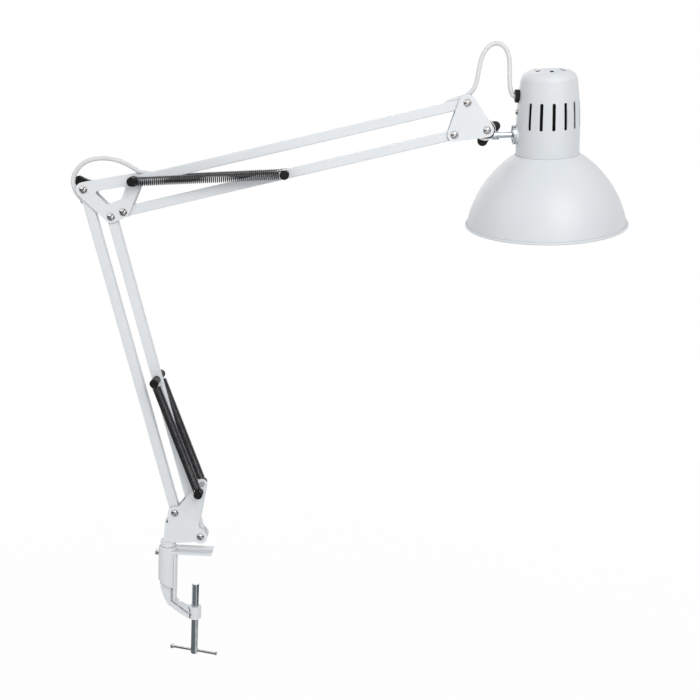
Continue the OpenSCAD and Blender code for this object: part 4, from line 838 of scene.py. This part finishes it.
def camera_white(name, shade_share, fade_from, fade_to):
    """White to the camera and to gloss. Near the object a share of its own lit surface takes the shadow."""
    material = bpy.data.materials.new(name)
    material.use_nodes = True
    tree = material.node_tree
    shader = tree.nodes["Principled BSDF"]
    shader.inputs["Base Color"].default_value = FLOOR_GREY
    shader.inputs["Roughness"].default_value = FLOOR_ROUGHNESS
    glow = tree.nodes.new("ShaderNodeEmission")
    glow.inputs["Strength"].default_value = 1.0
    away = tree.nodes.new("ShaderNodeVectorMath")
    away.operation = "LENGTH"
    tree.links.new(tree.nodes.new("ShaderNodeTexCoord").outputs["Object"], away.inputs[0])
    white_share = spread(tree, away.outputs["Value"], (fade_from, fade_to), (1.0 - shade_share, 1.0))
    mix = tree.nodes.new("ShaderNodeMixShader")
    tree.links.new(add_math(tree, "MULTIPLY", white_to_lens(tree), white_share), mix.inputs[0])
    tree.links.new(shader.outputs[0], mix.inputs[1])
    tree.links.new(glow.outputs[0], mix.inputs[2])
    tree.links.new(mix.outputs[0], tree.nodes["Material Output"].inputs["Surface"])
    return material


def make_floor():
    shape = bmesh.new()
    bmesh.ops.create_grid(shape, x_segments=1, y_segments=1, size=FLOOR_SIZE / 2)
    bmesh.ops.translate(shape, verts=shape.verts, vec=(0.0, 0.0, FLOOR_HEIGHT))
    mesh = bpy.data.meshes.new("floor")
    shape.to_mesh(mesh)
    shape.free()
    white = camera_white("floor_white", shade_share=0.05, fade_from=0.7, fade_to=2.2)
    new_piece("floor", mesh, white)


WORLD_STRENGTH = 0.55
WORLD_COLOUR = (0.98, 0.99, 1.0, 1.0)
WHITE = (1.0, 1.0, 1.0, 1.0)


def make_world():
    world = bpy.data.worlds.new("studio")
    bpy.context.scene.world = world
    world.use_nodes = True
    tree = world.node_tree
    plain = tree.nodes["Background"]
    plain.inputs["Color"].default_value = WORLD_COLOUR
    plain.inputs["Strength"].default_value = WORLD_STRENGTH
    seen_white = tree.nodes.new("ShaderNodeBackground")
    seen_white.inputs["Color"].default_value = WHITE
    seen_white.inputs["Strength"].default_value = 1.0
    mix = tree.nodes.new("ShaderNodeMixShader")
    tree.links.new(white_to_lens(tree), mix.inputs[0])
    tree.links.new(plain.outputs[0], mix.inputs[1])
    tree.links.new(seen_white.outputs[0], mix.inputs[2])
    tree.links.new(mix.outputs[0], tree.nodes["World Output"].inputs["Surface"])


LAMP_AIM = Vector((0.1, 0.0, 0.3))


def soft_lamp(name, place, side, power):
    """A square soft light, turned to the middle of the object."""
    data = bpy.data.lights.new(name, "AREA")
    data.shape = "SQUARE"
    data.size = side
    data.energy = power
    lamp = bpy.data.objects.new(name, data)
    bpy.context.scene.collection.objects.link(lamp)
    turn = (LAMP_AIM - Vector(place)).to_track_quat("-Z", "Y").to_matrix().to_4x4()
    lamp.matrix_world = Matrix.Translation(place) @ turn


BLACK = (0.0, 0.0, 0.0, 1.0)
FLAG_GLOW = (0.9, 0.97, 1.0, 1.0)


def gloss_flag(name, place, facing, size, glow):
    """A plain dark card near the object. Only gloss sees it, and it gives bright metal its dark edges."""
    shape = bmesh.new()
    bmesh.ops.create_grid(shape, x_segments=1, y_segments=1, size=0.5)
    bmesh.ops.scale(shape, verts=shape.verts, vec=(size[0], size[1], 1.0))
    turn = Vector(facing).to_track_quat("Z", "Y").to_matrix().to_4x4()
    bmesh.ops.transform(shape, verts=shape.verts, matrix=Matrix.Translation(place) @ turn)
    mesh = bpy.data.meshes.new(name)
    shape.to_mesh(mesh)
    shape.free()
    material = bpy.data.materials.new(name + "_card")
    material.use_nodes = True
    shader = material.node_tree.nodes["Principled BSDF"]
    shader.inputs["Base Color"].default_value = BLACK
    shader.inputs["Specular IOR Level"].default_value = 0.0
    shader.inputs["Emission Color"].default_value = FLAG_GLOW
    shader.inputs["Emission Strength"].default_value = glow
    flag = new_piece(name, mesh, material)
    for ray in ("camera", "diffuse", "transmission", "volume_scatter", "shadow"):
        setattr(flag, "visible_" + ray, False)


make_floor()
make_world()
soft_lamp("key_lamp", place=(0.75, -1.7, 1.45), side=1.2, power=22.0)
soft_lamp("fill_lamp", place=(-1.6, -1.2, 0.9), side=1.6, power=7.5)
soft_lamp("back_lamp", place=(-0.3, 1.8, 1.2), side=1.6, power=8.0)
CARD_HEIGHT = FLOOR_HEIGHT + 0.02
UPWARDS = (0.0, 0.0, 1.0)
gloss_flag("left_flag", place=(-0.75, -1.25, 0.25), facing=(0.6, 1.0, 0.0), size=(1.5, 1.3), glow=0.16)
gloss_flag("far_left_flag", place=(-1.5, -0.2, 0.25), facing=(1.0, 0.1, 0.0), size=(1.3, 1.3), glow=0.05)
gloss_flag("right_flag", place=(1.6, -0.3, 0.25), facing=(-1.0, 0.2, 0.0), size=(1.5, 1.3), glow=0.02)
gloss_flag("low_flag", place=(-0.45, -0.4, CARD_HEIGHT), facing=UPWARDS, size=(1.55, 1.5), glow=0.22)
gloss_flag("low_right_flag", place=(0.95, -0.25, CARD_HEIGHT), facing=UPWARDS, size=(0.7, 1.8), glow=0.02)

bpy.context.scene.view_settings.view_transform = "Standard"
